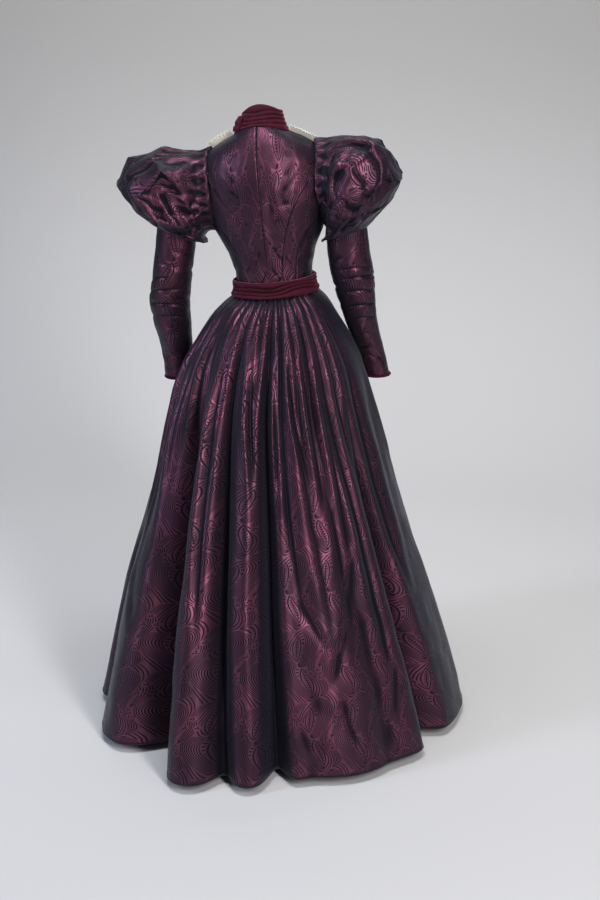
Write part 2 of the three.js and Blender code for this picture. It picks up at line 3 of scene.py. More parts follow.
import bpy
import numpy as np
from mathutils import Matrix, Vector


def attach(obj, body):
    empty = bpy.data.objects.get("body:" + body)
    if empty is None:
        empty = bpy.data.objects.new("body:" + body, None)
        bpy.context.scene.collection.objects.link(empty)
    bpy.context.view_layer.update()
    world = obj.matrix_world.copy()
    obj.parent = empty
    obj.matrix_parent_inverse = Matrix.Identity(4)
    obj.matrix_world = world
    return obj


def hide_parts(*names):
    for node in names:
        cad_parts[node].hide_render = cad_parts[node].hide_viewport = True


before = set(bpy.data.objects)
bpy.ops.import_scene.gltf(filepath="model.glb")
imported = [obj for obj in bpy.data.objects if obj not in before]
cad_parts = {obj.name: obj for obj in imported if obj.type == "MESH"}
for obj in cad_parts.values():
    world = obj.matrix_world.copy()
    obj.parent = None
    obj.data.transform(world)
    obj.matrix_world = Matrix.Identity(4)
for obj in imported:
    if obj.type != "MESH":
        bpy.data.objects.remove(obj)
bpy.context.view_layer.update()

# Heights are millimetres above the floor, x is towards the wearer's left and the back is +y.
# Angles round the body are degrees from the centre back, growing towards the wearer's left.
neckMiddle = np.array([39.0, 0.0, 1384.0])  # where the part's own origin lies
body = {"waist": 1035, "waistSway": 8, "lean": 5, "leanFrom": 960}
seamGap = 0.15  # half of the slit between two panels
rad = math.pi / 180


def mix(a, b, t):
    # a at 0, b at 1, and straight between them
    return a + (b - a) * t


def ease(t):
    # a soft step from 0 at 0 to 1 at 1
    t = np.clip(t, 0, 1)
    return t * t * (3 - 2 * t)


def bell(q):
    # 1 in the middle, falling away on both sides
    return np.exp(-q * q)


def along(table, column, x):
    # a smooth cubic through one column of a table, against its first column
    table = np.asarray(table, float)
    k, v = table[:, 0], table[:, column]
    slope = np.empty_like(v)
    slope[1:-1] = (v[2:] - v[:-2]) / (k[2:] - k[:-2])
    slope[0], slope[-1] = (v[1] - v[0]) / (k[1] - k[0]), (v[-1] - v[-2]) / (k[-1] - k[-2])
    x = np.clip(x, k[0], k[-1])
    i = np.clip(np.searchsorted(k, x, side="right") - 1, 0, len(k) - 2)
    span = k[i + 1] - k[i]
    t = (x - k[i]) / span
    t2, t3 = t * t, t * t * t
    rise = (2 * t3 - 3 * t2 + 1) * v[i] + (3 * t2 - 2 * t3) * v[i + 1]
    return rise + (t3 - 2 * t2 + t) * span * slope[i] + (t3 - t2) * span * slope[i + 1]


def waves(s, t, size, seed):
    # smooth unevenness from -1 to 1: random heights on a lattice of that size, joined by soft steps
    count = 64  # corners each way before the heights come again
    startA, startB = 31.7, 17.3  # keeps the lattice's own first corner off the piece
    lattice = np.random.default_rng(seed).uniform(-1, 1, (count, count))
    a, b = s / size + startA, t / size + startB
    i, j = np.floor(a).astype(int), np.floor(b).astype(int)
    fa, fb = ease(a - i), ease(b - j)
    at = lambda p, q: lattice[p % count, q % count]
    return mix(mix(at(i, j), at(i + 1, j), fa), mix(at(i, j + 1), at(i + 1, j + 1), fa), fb)


def creased(s, t, table, ridge=0.55):
    # troughs along short lines from (s0, t0) to (s1, t1): each is a bell of its own width and depth across
    # the line, bends a little, dies out at its ends, and throws up a lower ridge on one side
    bend = 0.12  # how far a line bows sideways, as a share of its length
    out = np.zeros(np.broadcast(s, t).shape)
    for s0, t0, s1, t1, width, depth in table:
        ds, dt = s1 - s0, t1 - t0
        length = math.hypot(ds, dt)
        run = ((s - s0) * ds + (t - t0) * dt) / length**2
        off = ((s - s0) * dt - (t - t0) * ds) / length + bend * length * np.sin(run * 2.6)
        fade = ease(run / 0.3) * ease((1 - run) / 0.35)
        out += fade * depth * (ridge * bell((off - 1.7 * width) / (1.2 * width)) - bell(off / width))
    return out


def stance(p):
    # the upper body leans sideways about the waist
    turn = body["lean"] * rad * ease((p[..., 2] - body["leanFrom"]) / (body["waist"] - body["leanFrom"]))
    rise = p[..., 2] - body["waist"]
    x = p[..., 0] * np.cos(turn) + rise * np.sin(turn) + body["waistSway"]
    z = body["waist"] + rise * np.cos(turn) - p[..., 0] * np.sin(turn)
    return np.stack([x, p[..., 1], z], -1)


def sectionRadius(halfWidth, back, front, angle):
    # a level section: an ellipse with its own depth at the back and at the front
    across, deep = np.sin(angle * rad), np.cos(angle * rad)
    return 1 / np.hypot(across / halfWidth, deep / np.where(deep > 0, back, front))


def roundBody(radius, angle, height):
    # a point at a distance and an angle from the upright middle line
    radius, angle, height = np.broadcast_arrays(radius, angle, height)
    return np.stack([radius * np.sin(angle * rad), radius * np.cos(angle * rad), height], -1)


def normals(p, ring):
    # the outward side at each grid point, from its neighbours along both ways
    if ring:
        du = np.roll(p, -1, 1) - np.roll(p, 1, 1)
    else:
        du = np.gradient(p, axis=1)
    dv = np.gradient(p, axis=0)
    n = np.cross(du, dv)
    return n / np.maximum(np.linalg.norm(n, axis=-1, keepdims=True), 1e-9)


class Signal:
    # a number that varies over a surface; arithmetic on it adds Math nodes
    def __init__(self, finish, socket):
        self.finish, self.socket = finish, socket

    def math(self, operation, *others):
        return self.finish.node("ShaderNodeMath", {"operation": operation}, dict(enumerate((self, *others))))

    def flipped(self, operation, other):
        return self.finish.node("ShaderNodeMath", {"operation": operation}, {0: other, 1: self})

    def __add__(self, other):
        return self.math("ADD", other)

    def __radd__(self, other):
        return self.math("ADD", other)

    def __sub__(self, other):
        return self.math("SUBTRACT", other)

    def __rsub__(self, other):
        return self.flipped("SUBTRACT", other)

    def __mul__(self, other):
        return self.math("MULTIPLY", other)

    def __rmul__(self, other):
        return self.math("MULTIPLY", other)

    def __truediv__(self, other):
        return self.math("DIVIDE", other)

    def __rtruediv__(self, other):
        return self.flipped("DIVIDE", other)

    def __pow__(self, other):
        return self.math("POWER", other)

    def step(self, low, high):
        # a soft step from 0 at low to 1 at high, or down where low is the higher
        ends = {1: low, 2: high, 3: 0.0, 4: 1.0} if low <= high else {1: high, 2: low, 3: 1.0, 4: 0.0}
        settings = {"interpolation_type": "SMOOTHSTEP"}
        return self.finish.node("ShaderNodeMapRange", settings, {0: self, **ends})


class Finish:
    # a material whose nodes are all made by node(type, settings, inputs)
    def __init__(self, name, **fixed):
        self.material = bpy.data.materials.new(name)
        self.material.use_nodes = True
        self.tree = self.material.node_tree
        self.shader = self.tree.nodes["Principled BSDF"]
        for socket, value in fixed.items():
            self.shader.inputs[socket.replace("_", " ")].default_value = value

    def node(self, kind, settings=None, inputs=None, output=0):
        made = self.tree.nodes.new(kind)
        for name, value in (settings or {}).items():
            setattr(made, name, value)
        for name, value in (inputs or {}).items():
            if isinstance(value, Signal):
                self.tree.links.new(value.socket, made.inputs[name])
            else:
                made.inputs[name].default_value = value
        return Signal(self, made.outputs[output])

    def feed(self, socket, signal):
        self.tree.links.new(signal.socket, self.shader.inputs[socket])

    def blendColour(self, amount, low, high):
        settings = {"data_type": "RGBA", "clamp_factor": True}
        return self.node("ShaderNodeMix", settings, {0: amount, 6: low, 7: high}, output=2)

    def cut(self):
        # the cloth's own lie, in millimetres: across and along the cut
        uv = self.node("ShaderNodeUVMap", {"uv_map": "cut"})
        parts = self.tree.nodes.new("ShaderNodeSeparateXYZ")
        self.tree.links.new(uv.socket, parts.inputs[0])
        return Signal(self, parts.outputs[0]) * 1000.0, Signal(self, parts.outputs[1]) * 1000.0

    def bump(self, height, strength, distance):
        settings = {"Height": height, "Strength": strength, "Distance": distance}
        self.feed("Normal", self.node("ShaderNodeBump", None, settings))


silk = {
    "ground": (0.162, 0.050, 0.085, 1), "shade": (0.102, 0.036, 0.061, 1), "figure": (0.010, 0.010, 0.016, 1),
    # the near black colour is painted shade in the cloth's grooves, and the slate one painted sheen where the
    # cloth turns away
    "turned": (0.022, 0.018, 0.028, 1), "grooveShade": (0.006, 0.005, 0.009, 1),
    "sheen": 0.13, "sheenTint": (0.36, 0.34, 0.50, 1), "metallic": 0.92, "roughness": 0.40,
    # the repeat, how far it sways across and up, the rings' and the ribs' spacing, all in millimetres
    "wide": 96.0, "high": 168.0, "swayAcross": 13.0, "swayUp": 7.0, "rings": 5.6, "ribs": 0.9,
}
fullTurn = 2 * math.pi


def hypot(a, b):
    # how far a place is from a middle, by its two distances
    return (a * a + b * b) ** 0.5


def plume(x, y, cx, cy, side, radius, fat, low, high, lines):
    # a fan of fine lines along an arc, which starts at a point, swells, and closes again
    a, b = (x - cx) * side, y - cy
    run = (b.math("ARCTAN2", a) - low) / (high - low)
    swell = (run * (1.0 - run) * 4.0).math("MAXIMUM", 0.001) ** 0.7
    across = (hypot(a, b) - radius) / (swell * fat)
    outOfMiddle = across.math("ABSOLUTE")
    clear = outOfMiddle.step(1.12, 1.04) * run.step(-0.02, 0.0) * run.step(1.02, 1.0)
    comb = (across * (lines * math.pi)).math("COSINE").step(-0.45, 0.25)
    root = run.step(0.11, 0.04)
    ends = run.step(0.0, 0.03) * run.step(1.0, 0.97)
    return clear, outOfMiddle.step(1.0, 0.92) * comb.math("MAXIMUM", root) * ends


def leaf(x, y, cx, cy, tilt, halfWide, halfHigh):
    # an almond outline with a stalk and slanting strokes inside
    a = (x - cx) * math.cos(tilt) + (y - cy) * math.sin(tilt)
    b = (y - cy) * math.cos(tilt) - (x - cx) * math.sin(tilt)
    beside = a.math("ABSOLUTE")
    edge = beside / halfWide + (b / halfHigh) ** 2.0
    line = (edge - 0.86).math("ABSOLUTE").step(0.16, 0.08)
    slant = (b - beside * 0.8) / 6.0
    strokes = (slant * fullTurn).math("SINE").step(-0.1, 0.5) * beside.step(halfWide * 0.5, halfWide * 0.4)
    stalk = beside.step(1.2, 0.7)
    return edge.step(1.16, 1.08), line.math("MAXIMUM", edge.step(0.62, 0.52) * strokes.math("MAXIMUM", stalk))


def trefoil(x, y, cx, cy, size=1.9):
    # three dots round a point, on a plain disc
    dots = None
    for dx, dy in ((0, 2.7), (-2.5, -1.3), (2.5, -1.3)):
        dot = hypot(x - cx - dx, y - cy - dy).step(size + 0.35, size - 0.35)
        dots = dot if dots is None else dots.math("MAXIMUM", dot)
    return hypot(x - cx, y - cy).step(7.6, 6.8), dots


def damask(s, t):
    # two motifs of one repeat, each the middle of its own lattice
    wide, high = silk["wide"], silk["high"]
    ax = (s / wide).math("FRACT") * wide - wide / 2
    ay = (t / high).math("FRACT") * high - high / 2
    bx = (s / wide + 0.5).math("FRACT") * wide - wide / 2
    by = (t / high + 0.5).math("FRACT") * high - high / 2
    # rings round each motif meet half way and fill the ground
    ra = hypot(((s + 18.0) / wide).math("FRACT") * wide - wide / 2, ay * 0.72)
    rb = hypot(((s - 18.0) / wide + 0.5).math("FRACT") * wide - wide / 2, by * 0.72)
    rings = (ra.math("MINIMUM", rb) * (fullTurn / silk["rings"])).math("SINE").step(0.0, 0.6)
    figure = rings * (ra - rb).math("ABSOLUTE").step(2.5, 4.5)
    shapes = [
        plume(ax, ay, -34, 6, 1, 40, 17, -1.35, 1.3, 9.0),
        plume(ax, ay, 36, 58, -1, 30, 10, -1.2, 1.5, 5.0),
        leaf(ax, ay, -27, 4, 0.16, 12, 34),
        plume(bx, by, 34, -4, -1, 40, 16, -1.3, 1.35, 9.0),
        plume(bx, by, -36, -58, 1, 30, 10, -1.5, 1.2, 5.0),
        leaf(bx, by, 27, -2, -0.2, 11, 32),
        plume(ax, ay, -10, -74, 1, 26, 8, -0.9, 1.5, 4.0),
        plume(bx, by, 12, 72, -1, 26, 8, -1.5, 0.9, 4.0),
        trefoil(ax, ay, 30, 22), trefoil(ax, ay, 34, 4), trefoil(bx, by, -30, -22), trefoil(bx, by, -33, 0),
        trefoil(ax, ay, -4, 66), trefoil(bx, by, 2, -64),
    ]
    for clear, ink in shapes:
        figure = (figure * (1.0 - clear)).math("MAXIMUM", ink)
    return figure


def silkFinish():
    f = Finish("changeableDamask", Metallic=silk["metallic"], Sheen_Weight=silk["sheen"], Sheen_Roughness=0.6,
               Sheen_Tint=silk["sheenTint"])
    s, t = f.cut()
    # the whole figure sways from side to side up the cloth
    figure = damask(s + (t * (fullTurn / silk["high"])).math("SINE") * silk["swayAcross"],
                    t + (s * (fullTurn / silk["wide"])).math("SINE") * silk["swayUp"])
    # the weave is uneven by a thread here and there, and the ground darkens in soft clouds
    place = f.node("ShaderNodeTexCoord", output="Object")
    cloud = f.node("ShaderNodeTexNoise", None, {"Vector": place, "Scale": 9.0, "Detail": 3.0}).step(0.35, 0.7)
    slub = f.node("ShaderNodeTexNoise", None, {"Vector": place, "Scale": 260.0, "Detail": 2.0})
    ribs = (t * (fullTurn / silk["ribs"])).math("SINE")
    # painted sheen of changeable silk: the colour shows the red threads face on and turns to the slate ones
    # where the cloth turns away, and in soft clouds too
    turned = f.node("ShaderNodeLayerWeight", None, {"Blend": 0.5}, output=1).step(0.08, 0.62)
    turned = turned.math("MAXIMUM", cloud * 0.42)
    ground = f.blendColour(cloud * 0.6, silk["ground"], silk["shade"])
    ground = f.blendColour(turned, ground, silk["turned"])
    # painted shade: the cloth darkens to near black in its grooves, by how deep each point lies in a fold
    fold = f.node("ShaderNodeAttribute", {"attribute_name": "fold"}, output=2)
    colour = f.blendColour(figure, ground, silk["figure"])
    f.feed("Base Color", f.blendColour(fold.step(0.05, 1.1), colour, silk["grooveShade"]))
    f.feed("Roughness", silk["roughness"] + figure * 0.18 + slub * 0.06)
    f.bump(figure * 0.35 + ribs * 0.05 + slub * 0.25, 0.3, 0.0004)
    return f.material


velvet = {
    # the darker colour stands for crushed pile and for painted shade in the folds
    "pile": (0.058, 0.007, 0.018, 1), "crushedAndShaded": (0.020, 0.002, 0.007, 1), "tint": (0.70, 0.18, 0.28, 1),
    "sheen": 0.8, "gloss": 0.15,
}


def velvetFinish():
    # the pile is darker where its crush lies and, as painted shade, in its folds, and glows along its edges
    f = Finish("wineVelvet", Sheen_Weight=velvet["sheen"], Sheen_Roughness=0.30, Sheen_Tint=velvet["tint"],
               Specular_IOR_Level=velvet["gloss"])
    place = f.node("ShaderNodeTexCoord", output="Object")
    crush = f.node("ShaderNodeTexNoise", None, {"Vector": place, "Scale": 34.0, "Detail": 3.0})
    crush = crush.step(0.45, 0.75)
    nap = f.node("ShaderNodeTexNoise", None, {"Vector": place, "Scale": 1400.0, "Detail": 2.0})
    fold = f.node("ShaderNodeAttribute", {"attribute_name": "fold"}, output=2)
    # painted shade: the pile darkens by its fold depth, and also where the crush noise lies
    shade = (fold.step(-0.3, 0.5) * 0.8 + crush * 0.35).math("MINIMUM", 1.0)
    f.feed("Base Color", f.blendColour(shade, velvet["pile"], velvet["crushedAndShaded"]))
    f.feed("Roughness", 0.95 - crush * 0.2)
    f.bump(nap * 0.5 + crush * 0.5, 0.5, 0.0006)
    return f.material


cream = {
    "thread": (0.97, 0.95, 0.88, 1), "hollow": (0.78, 0.72, 0.60, 1),
    # glow and lit set the lace's painted glow
    "glow": (0.9, 0.86, 0.78, 1), "lit": 0.26,
}


def laceFinish():
    # a net of cells with petals worked on it; a faint painted glow brightens it, standing in for light that
    # comes through the threads
    f = Finish("creamLace", Roughness=0.9, Sheen_Weight=0.2, Emission_Color=cream["glow"],
               Emission_Strength=cream["lit"])
    s, t = f.cut()
    lie = f.node("ShaderNodeCombineXYZ", None, {0: s, 1: t})
    cells = f.node("ShaderNodeTexVoronoi", {"feature": "DISTANCE_TO_EDGE"}, {"Vector": lie, "Scale": 0.42})
    petals = ((s * 0.42).math("SINE") * (t * 0.42).math("SINE")).math("ABSOLUTE").step(0.32, 0.5)
    thread = (1.0 - cells.step(0.05, 0.11)).math("MAXIMUM", petals)
    f.feed("Base Color", f.blendColour(thread, cream["hollow"], cream["thread"]))
    f.feed("Alpha", thread * 0.2 + 0.8)
    f.bump(thread, 0.6, 0.0008)
    return f.material


wool = {"dark": (0.004, 0.004, 0.006, 1), "light": (0.016, 0.014, 0.020, 1), "twill": 2.2}


def braidFinish():
    # slanting twill, which goes round the cord
    f = Finish("blackBraid", Roughness=0.9, Sheen_Weight=0.15)
    s, t = f.cut()
    twill = ((s + t) * (fullTurn / wool["twill"])).math("SINE")
    f.feed("Base Color", f.blendColour(twill.step(-0.6, 0.8), wool["dark"], wool["light"]))
    f.bump(twill, 0.5, 0.0005)
    return f.material


# one finish for each slot of the part
finishes = {
    "damask": silkFinish(),
    "velvet": velvetFinish(),
    "lace": laceFinish(),
    "braid": braidFinish(),
}
print("finishes made")


def outwardSign(points):
    # 1 where the grid's normals point away from the piece's own middle, else -1
    return 1 if (normals(points, False) * (points - points.reshape(-1, 3).mean(0))).sum() > 0 else -1


def outwardOf(p):
    # away from the upright line through the middle of the body, or of the sleeve that the cloth is on
    centre = p.reshape(-1, 3).mean(0)
    axis = np.array([0.0 if abs(centre[0]) < 0.12 else centre[0], 0.0, 0.0])
    return p * [1, 1, 0] - axis * [1, 1, 0]


def gridMesh(name, p, ring):
    # quads between the points of a grid, which closes on itself where it is a ring
    rows, columns = p.shape[:2]
    j, i = np.meshgrid(np.arange(rows - 1), np.arange(columns if ring else columns - 1), indexing="ij")
    low, high, right = j * columns, (j + 1) * columns, (i + 1) % columns
    quads = np.stack([low + i, low + right, high + right, high + i], -1)
    turned = (normals(p, ring) * outwardOf(p)).sum() < 0
    if turned:
        quads = quads[..., ::-1]
    quads = quads.reshape(-1, 4)
    mesh = bpy.data.meshes.new(name)
    mesh.vertices.add(rows * columns)
    mesh.vertices.foreach_set("co", p.astype(np.float32).ravel())
    mesh.loops.add(quads.size)
    mesh.loops.foreach_set("vertex_index", quads.astype(np.int32).ravel())
    mesh.polygons.add(len(quads))
    mesh.polygons.foreach_set("loop_start", np.arange(0, quads.size, 4, dtype=np.int32))
    mesh.polygons.foreach_set("loop_total", np.full(len(quads), 4, np.int32))
    mesh.update(calc_edges=True)
    return mesh, turned


def cloth(name, node, points, cut, slot, ring=False, thickness=1.5):
    # a grid of points becomes quads, with the lie of the cut as its UV map and its wall inwards
    p = (points - neckMiddle) / 1000
    if ring:
        p = p[:, :-1]
    mesh, turned = gridMesh(name, p, ring)
    uvCorners = np.stack([cut[:-1, :-1], cut[:-1, 1:], cut[1:, 1:], cut[1:, :-1]], -2)
    if turned:
        uvCorners = uvCorners[..., ::-1, :]
    layer = mesh.uv_layers.new(name="cut")
    layer.data.foreach_set("uv", (uvCorners / 1000).astype(np.float32).ravel())
    mesh.shade_smooth()
    # how deep each point lies in a fold, from -1 on a ridge to 1 at the bottom of a fold, which the finishes
    # use to paint shade into the folds: the middle of the points a few millimetres to either side of it, less
    # the point itself, along the outward side
    outside = normals(points, False) * outwardSign(points)
    deep = 0
    for axis in (0, 1):
        step = np.linalg.norm(np.diff(points, axis=axis), axis=-1).mean()
        for wide in (4, 12):
            reach = int(np.clip(round(wide / step), 1, points.shape[axis] // 2 - 1))
            room = [(reach, reach) if k == axis else (0, 0) for k in range(3)]
            far = np.moveaxis(np.pad(points, room, mode="reflect", reflect_type="odd"), axis, 0)
            deep = deep + np.moveaxis(far[:-2 * reach] + far[2 * reach:], 0, axis) / 2 - points
    deep = np.tanh((deep * outside).sum(-1) / 2.0)
    fold = mesh.attributes.new("fold", "FLOAT", "POINT")
    fold.data.foreach_set("value", (deep[:, :-1] if ring else deep).astype(np.float32).ravel())
    piece = bpy.data.objects.new(name, mesh)
    bpy.context.collection.objects.link(piece)
    mesh.materials.append(finishes[slot])
    wall = piece.modifiers.new("wall", "SOLIDIFY")
    wall.thickness, wall.offset, wall.use_even_offset = thickness / 1000, -1, False
    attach(piece, "root")
    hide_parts(node)
    # the cut: as wide as its widest row, as long as its longest column, and the area of its cloth
    across = np.linalg.norm(np.diff(p, axis=1), axis=-1).sum(1).max()
    long = max(np.linalg.norm(np.diff(p, axis=0), axis=-1).sum(0).max(), 0.012)
    a, b = p[1:, 1:] - p[:-1, :-1], p[1:, :-1] - p[:-1, 1:]
    area = np.linalg.norm(np.cross(a, b), axis=-1).sum() / 2
    # the area is held to no less than a third of its box and no more than all of it
    area = float(np.clip(area, 0.32 * across * long, 0.98 * across * long))


# the skirt's level sections, columns: height, half width, depth at the back, depth at the front, sway
skirtSections = [
    (22, 440, 468, 372, -8), (160, 408, 436, 340, -5), (320, 362, 394, 302, 0), (470, 316, 350, 266, 2),
    (620, 274, 308, 234, 5), (770, 234, 266, 204, 8), (860, 206, 238, 182, 4), (910, 180, 216, 162, 1),
    (960, 149, 182, 138, 0), (1000, 119, 138, 114, 0), (1021, 96.5, 96, 96.5, 0), (1036, 89.4, 84.8, 90.5, 0),
    (1046, 88.7, 84.2, 90.3, 0),
]
# where a thread that meets the hem meets the waist, columns: angle at the hem, angle at the waist
skirtThreads = [
    (-180, -180), (-110, -106), (-62.5, -50), (-6.8, -4), (8.5, 17), (33.5, 41), (72, 76), (110, 111),
    (180, 180),
]
# the large folds, columns: angle at the hem, how far out there, half width there, height where it begins
skirtFolds = [
    (-152, -14, 60, 620), (-122, -26, 52, 700), (-88, 8, 60, 760), (-62.5, -74, 36, 820), (-41, -12, 42, 900),
    (-17, -20, 60, 900), (-6.8, -72, 27, 1030), (1, 22, 42, 900), (8.5, -44, 24, 1020), (18.5, 52, 66, 860),
    (33.5, -128, 54, 1000), (51, 16, 80, 800), (72, -62, 44, 800), (119, -28, 54, 720), (150, -16, 60, 640),
]
# the gathers between them, columns: angle at the hem, depth, height where it dies out
skirtGathers = [
    (-70, 5, 520), (-56, 8, 360), (-46, 7, 480), (-35, 9, 260), (-26, 8, 420), (-15, 9, 200), (-2, 8, 560),
    (4, 9, 430), (15, 9, 330), (24, 8, 450), (43, 9, 300), (54, 7, 420), (64, 6, 520),
]
# fine gathers set into the belt: angle at the waist, depth, width, height where it dies out
fineGathers = [
    (-58, 2, 5, 860), (-46, 4, 4, 700), (-38, 3, 3.4, 900), (-27, 7, 5, 560), (-19, 4, 3, 820),
    (-11.5, 8, 4.6, 480),
    (-4, 5, 3.2, 760), (2.5, 8.5, 4.8, 440), (9, 4.4, 2.8, 860), (17, 7.6, 5, 520), (26.5, 5, 3.4, 800),
    (35, 6.4, 4.8, 600), (47, 3.4, 3.6, 880), (58, 2.4, 5, 820),
]
# long soft folds between the deep ones: angle and height at the top, the same at the bottom, width, depth
skirtRuns = [
    (66, 980, 60, 420, 11, 9.5), (58, 960, 56, 300, 13, 2.7), (49, 940, 47, 560, 9, 6.3),
    (44, 900, 41, 180, 14, 3.2), (38, 990, 37, 640, 7, 8.4), (31, 980, 27, 330, 10, 5),
    (27, 900, 24, 60, 13, 8), (22, 985, 22, 560, 7, 2.4), (17, 930, 14, 240, 9, 9.1),
    (12, 1000, 12, 620, 6, 3), (5, 990, 4, 420, 7, 3.1), (1, 1005, -1, 560, 5, 7.7),
    (-2, 800, -3, 120, 8, 3.6), (-10, 990, -12, 520, 7, 10), (-14, 1000, -19, 300, 8, 3.6),
    (-19, 960, -25, 640, 6, 7.2), (-24, 940, -29, 100, 11, 2.4), (-30, 990, -33, 560, 8, 7.2),
    (-35, 900, -38, 240, 12, 4), (-42, 960, -43, 420, 10, 7), (-48, 930, -50, 140, 14, 10.8),
    (-55, 960, -57, 460, 10, 2.7), (-70, 900, -72, 260, 14, 7.2), (-84, 860, -80, 300, 16, 3.2),
    (-100, 900, -104, 420, 14, 8.4), (-118, 860, -116, 200, 18, 5), (-140, 820, -138, 240, 18, 8),
    (82, 900, 80, 300, 14, 2.4), (96, 860, 98, 200, 16, 11.7), (112, 900, 108, 420, 14, 3.5),
    (132, 820, 134, 240, 18, 2.8), (160, 780, 158, 260, 20, 7.7), (178, 800, 176, 300, 20, 4.8),
    (-162, 780, -164, 240, 20, 8.8),
    # short slanting pulls and the breaks near the hem
    (30, 330, 44, 210, 15.6, 2.7), (21, 250, 26, 60, 16.8, 3.1), (42, 260, 37, 90, 14.4, 2.7),
    (12, 300, 17, 110, 12, 2.2), (-18, 420, -27, 260, 14.4, 2.7), (-12, 210, -16, 50, 14.4, 2.7),
    (-34, 360, -26, 190, 15.6, 3.1), (-46, 520, -39, 360, 14.4, 2.7), (-52, 260, -47, 90, 15.6, 3.1),
    (56, 420, 48, 250, 16.8, 2.7), (64, 240, 60, 70, 16.8, 3.1), (-27, 200, -33, 60, 12, 2.2),
]
# the deepest grooves close to a narrow line in their middle, dark from its depth and from painted shade: angle
# at the hem, from and to height, width, depth
skirtClefts = [
    (-6.8, 1020, 60, 11, 20), (8.5, 1010, 90, 11, 18), (-62.5, 700, 120, 12, 14), (33.5, 820, 500, 10, 12),
]
skirt = {
    "hem": 22, "top": 1046, "round": 440, "gatherTop": 1034, "gatherDeepest": 925, "unevenness": 4.0,
    "lap": 3.0, "under": 1.5, "rows": 164,
}


def foldedOut(hemAngle, height, radius):
    # how far the large folds stand out and the gathers sink in, each a bell round its own angle
    out = np.zeros(np.broadcast(hemAngle, height).shape)
    # a fold grows in depth and in width from its start down to the hem
    for at, deep, halfWidth, start in skirtFolds:
        grown = np.clip((start - height) / (start - skirt["hem"]), 0, 1)
        apart = (hemAngle - at) * rad * radius
        out += deep * grown**0.8 * bell(apart / (halfWidth * mix(0.34, 1, grown)))
    # a gather is deepest a little below the belt, and widens and dies out further down
    top, deepest = skirt["gatherTop"], skirt["gatherDeepest"]
    for at, deep, to in skirtGathers:
        rise = ease((top - height) / (top - deepest))
        fade = 1 - ease((deepest - height) / (deepest - to))
        apart = (hemAngle - at) * rad * radius
        out -= deep * rise * fade * bell(apart / mix(7, 17, ease((top - height) / 500)))
    return out


def skirtPoint(hemAngle, height):
    # level sections with a fold's depth added, the threads running from the hem's angle to the waist's
    hemAngle = np.where(hemAngle > 180, hemAngle - 360, hemAngle)
    down = np.clip((skirt["top"] - height) / (skirt["top"] - skirt["hem"]), 0, 1)
    angle = mix(along(skirtThreads, 1, hemAngle), hemAngle, down)
    halfWidth, back, front, sway = (along(skirtSections, c, height) for c in (1, 2, 3, 4))
    radius = sectionRadius(halfWidth, back, front, angle)
    out = foldedOut(hemAngle, height, radius)
    for at, deep, width, to in fineGathers:
        fade = ease((height - to) / (1020 - to)) * ease((1050 - height) / 22)
        out -= deep * fade * bell((angle - at) * rad * radius / (width * (1 + (1030 - height) / 160)))
    # each long fold wanders from its top to its foot and throws up a ridge beside it
    for top, start, foot, end, width, deep in skirtRuns:
        run = np.clip((start - height) / (start - end), 0, 1)
        apart = (hemAngle - mix(top, foot, run) - 0.9 * np.sin(run * 5 + top)) * rad * radius
        fade = deep * ease(run / 0.3) * ease((1 - run) / 0.4)
        out += fade * (0.55 * bell((apart - 1.7 * width) / (1.3 * width)) - bell(apart / width))
    for at, start, end, width, deep in skirtClefts:
        fade = ease((start - height) / 120) * ease((height - end) / 260)
        out -= deep * fade * bell((hemAngle - at) * rad * radius / width)
    # uneven softness that runs mostly down the cloth
    s = hemAngle * rad * skirt["round"]
    low = ease((1000 - height) / 400)
    out += low * skirt["unevenness"] * (waves(s, height * 0.3, 62, 3) + 0.4 * waves(s, height * 0.7, 34, 5))
    point = roundBody(radius + out, angle, height)
    point[..., 0] += sway
    return point


skirtGores = {
    "backRight": {"node": "skirt_back_right", "from": -62.5, "to": -6.8, "columns": 140},
    "backLeft": {"node": "skirt_back_left", "from": -6.8, "to": 72, "columns": 196},
    "sideLeft": {"node": "skirt_side_left", "from": 72, "to": 134, "columns": 70},
    "front": {"node": "skirt_front", "from": 134, "to": 226, "columns": 68},
    "sideRight": {"node": "skirt_side_right", "from": -134, "to": -62.5, "columns": 80},
}
for name, gore in skirtGores.items():
    v = np.linspace(0, 1, skirt["rows"])[:, None]
    u = np.linspace(0, 1, gore["columns"])[None, :]
    height = mix(skirt["hem"], skirt["top"], v)
    halfWidth = along(skirtSections, 1, height)
    spare = 0.01 / rad / halfWidth
    # one edge of each gore runs on beneath its neighbour as the seam's allowance
    lap = skirt["lap"] / rad / halfWidth
    hemAngle = mix(gore["from"] + spare, gore["to"] + lap, u)
    points = skirtPoint(hemAngle, height)
    beyond = (hemAngle - gore["to"]) / lap
    inward = -outwardSign(points) * skirt["under"] * ease(1 + beyond * 0.8)
    points = points + normals(points, False) * inward[..., None]
    middle = (gore["from"] + gore["to"]) / 2
    cut = np.stack([(hemAngle - middle) * rad * (halfWidth + 10), height * 1.08 + 0 * u], -1)
    cloth("skirt" + name[0].upper() + name[1:], gore["node"], stance(points), cut, "damask")
print("skirt made")


# the bodice's level sections, columns: height, half width, depth at the back, depth at the front
bodySections = [
    (1020, 87, 82, 86.5), (1046, 86, 81.5, 87), (1075, 87, 83, 95), (1115, 98, 89, 112), (1160, 119, 97, 130),
    (1212, 139, 104, 141), (1265, 145, 107, 132), (1310, 138, 102, 110), (1340, 124, 88, 87),
    (1360, 97, 73, 71),
    (1371, 74, 63, 62), (1377, 61, 58, 57),
]
bodice = {
    "bottom": 1026, "neck": 1377, "riseBack": 18, "riseFront": -22, "riseFrom": 1290,
    "seamDip": 0.6, "seamRidge": 0.4, "columns": 42, "rows": 140,
}
armhole = {"height": 1257, "halfHeight": 90, "halfDepth": 62}
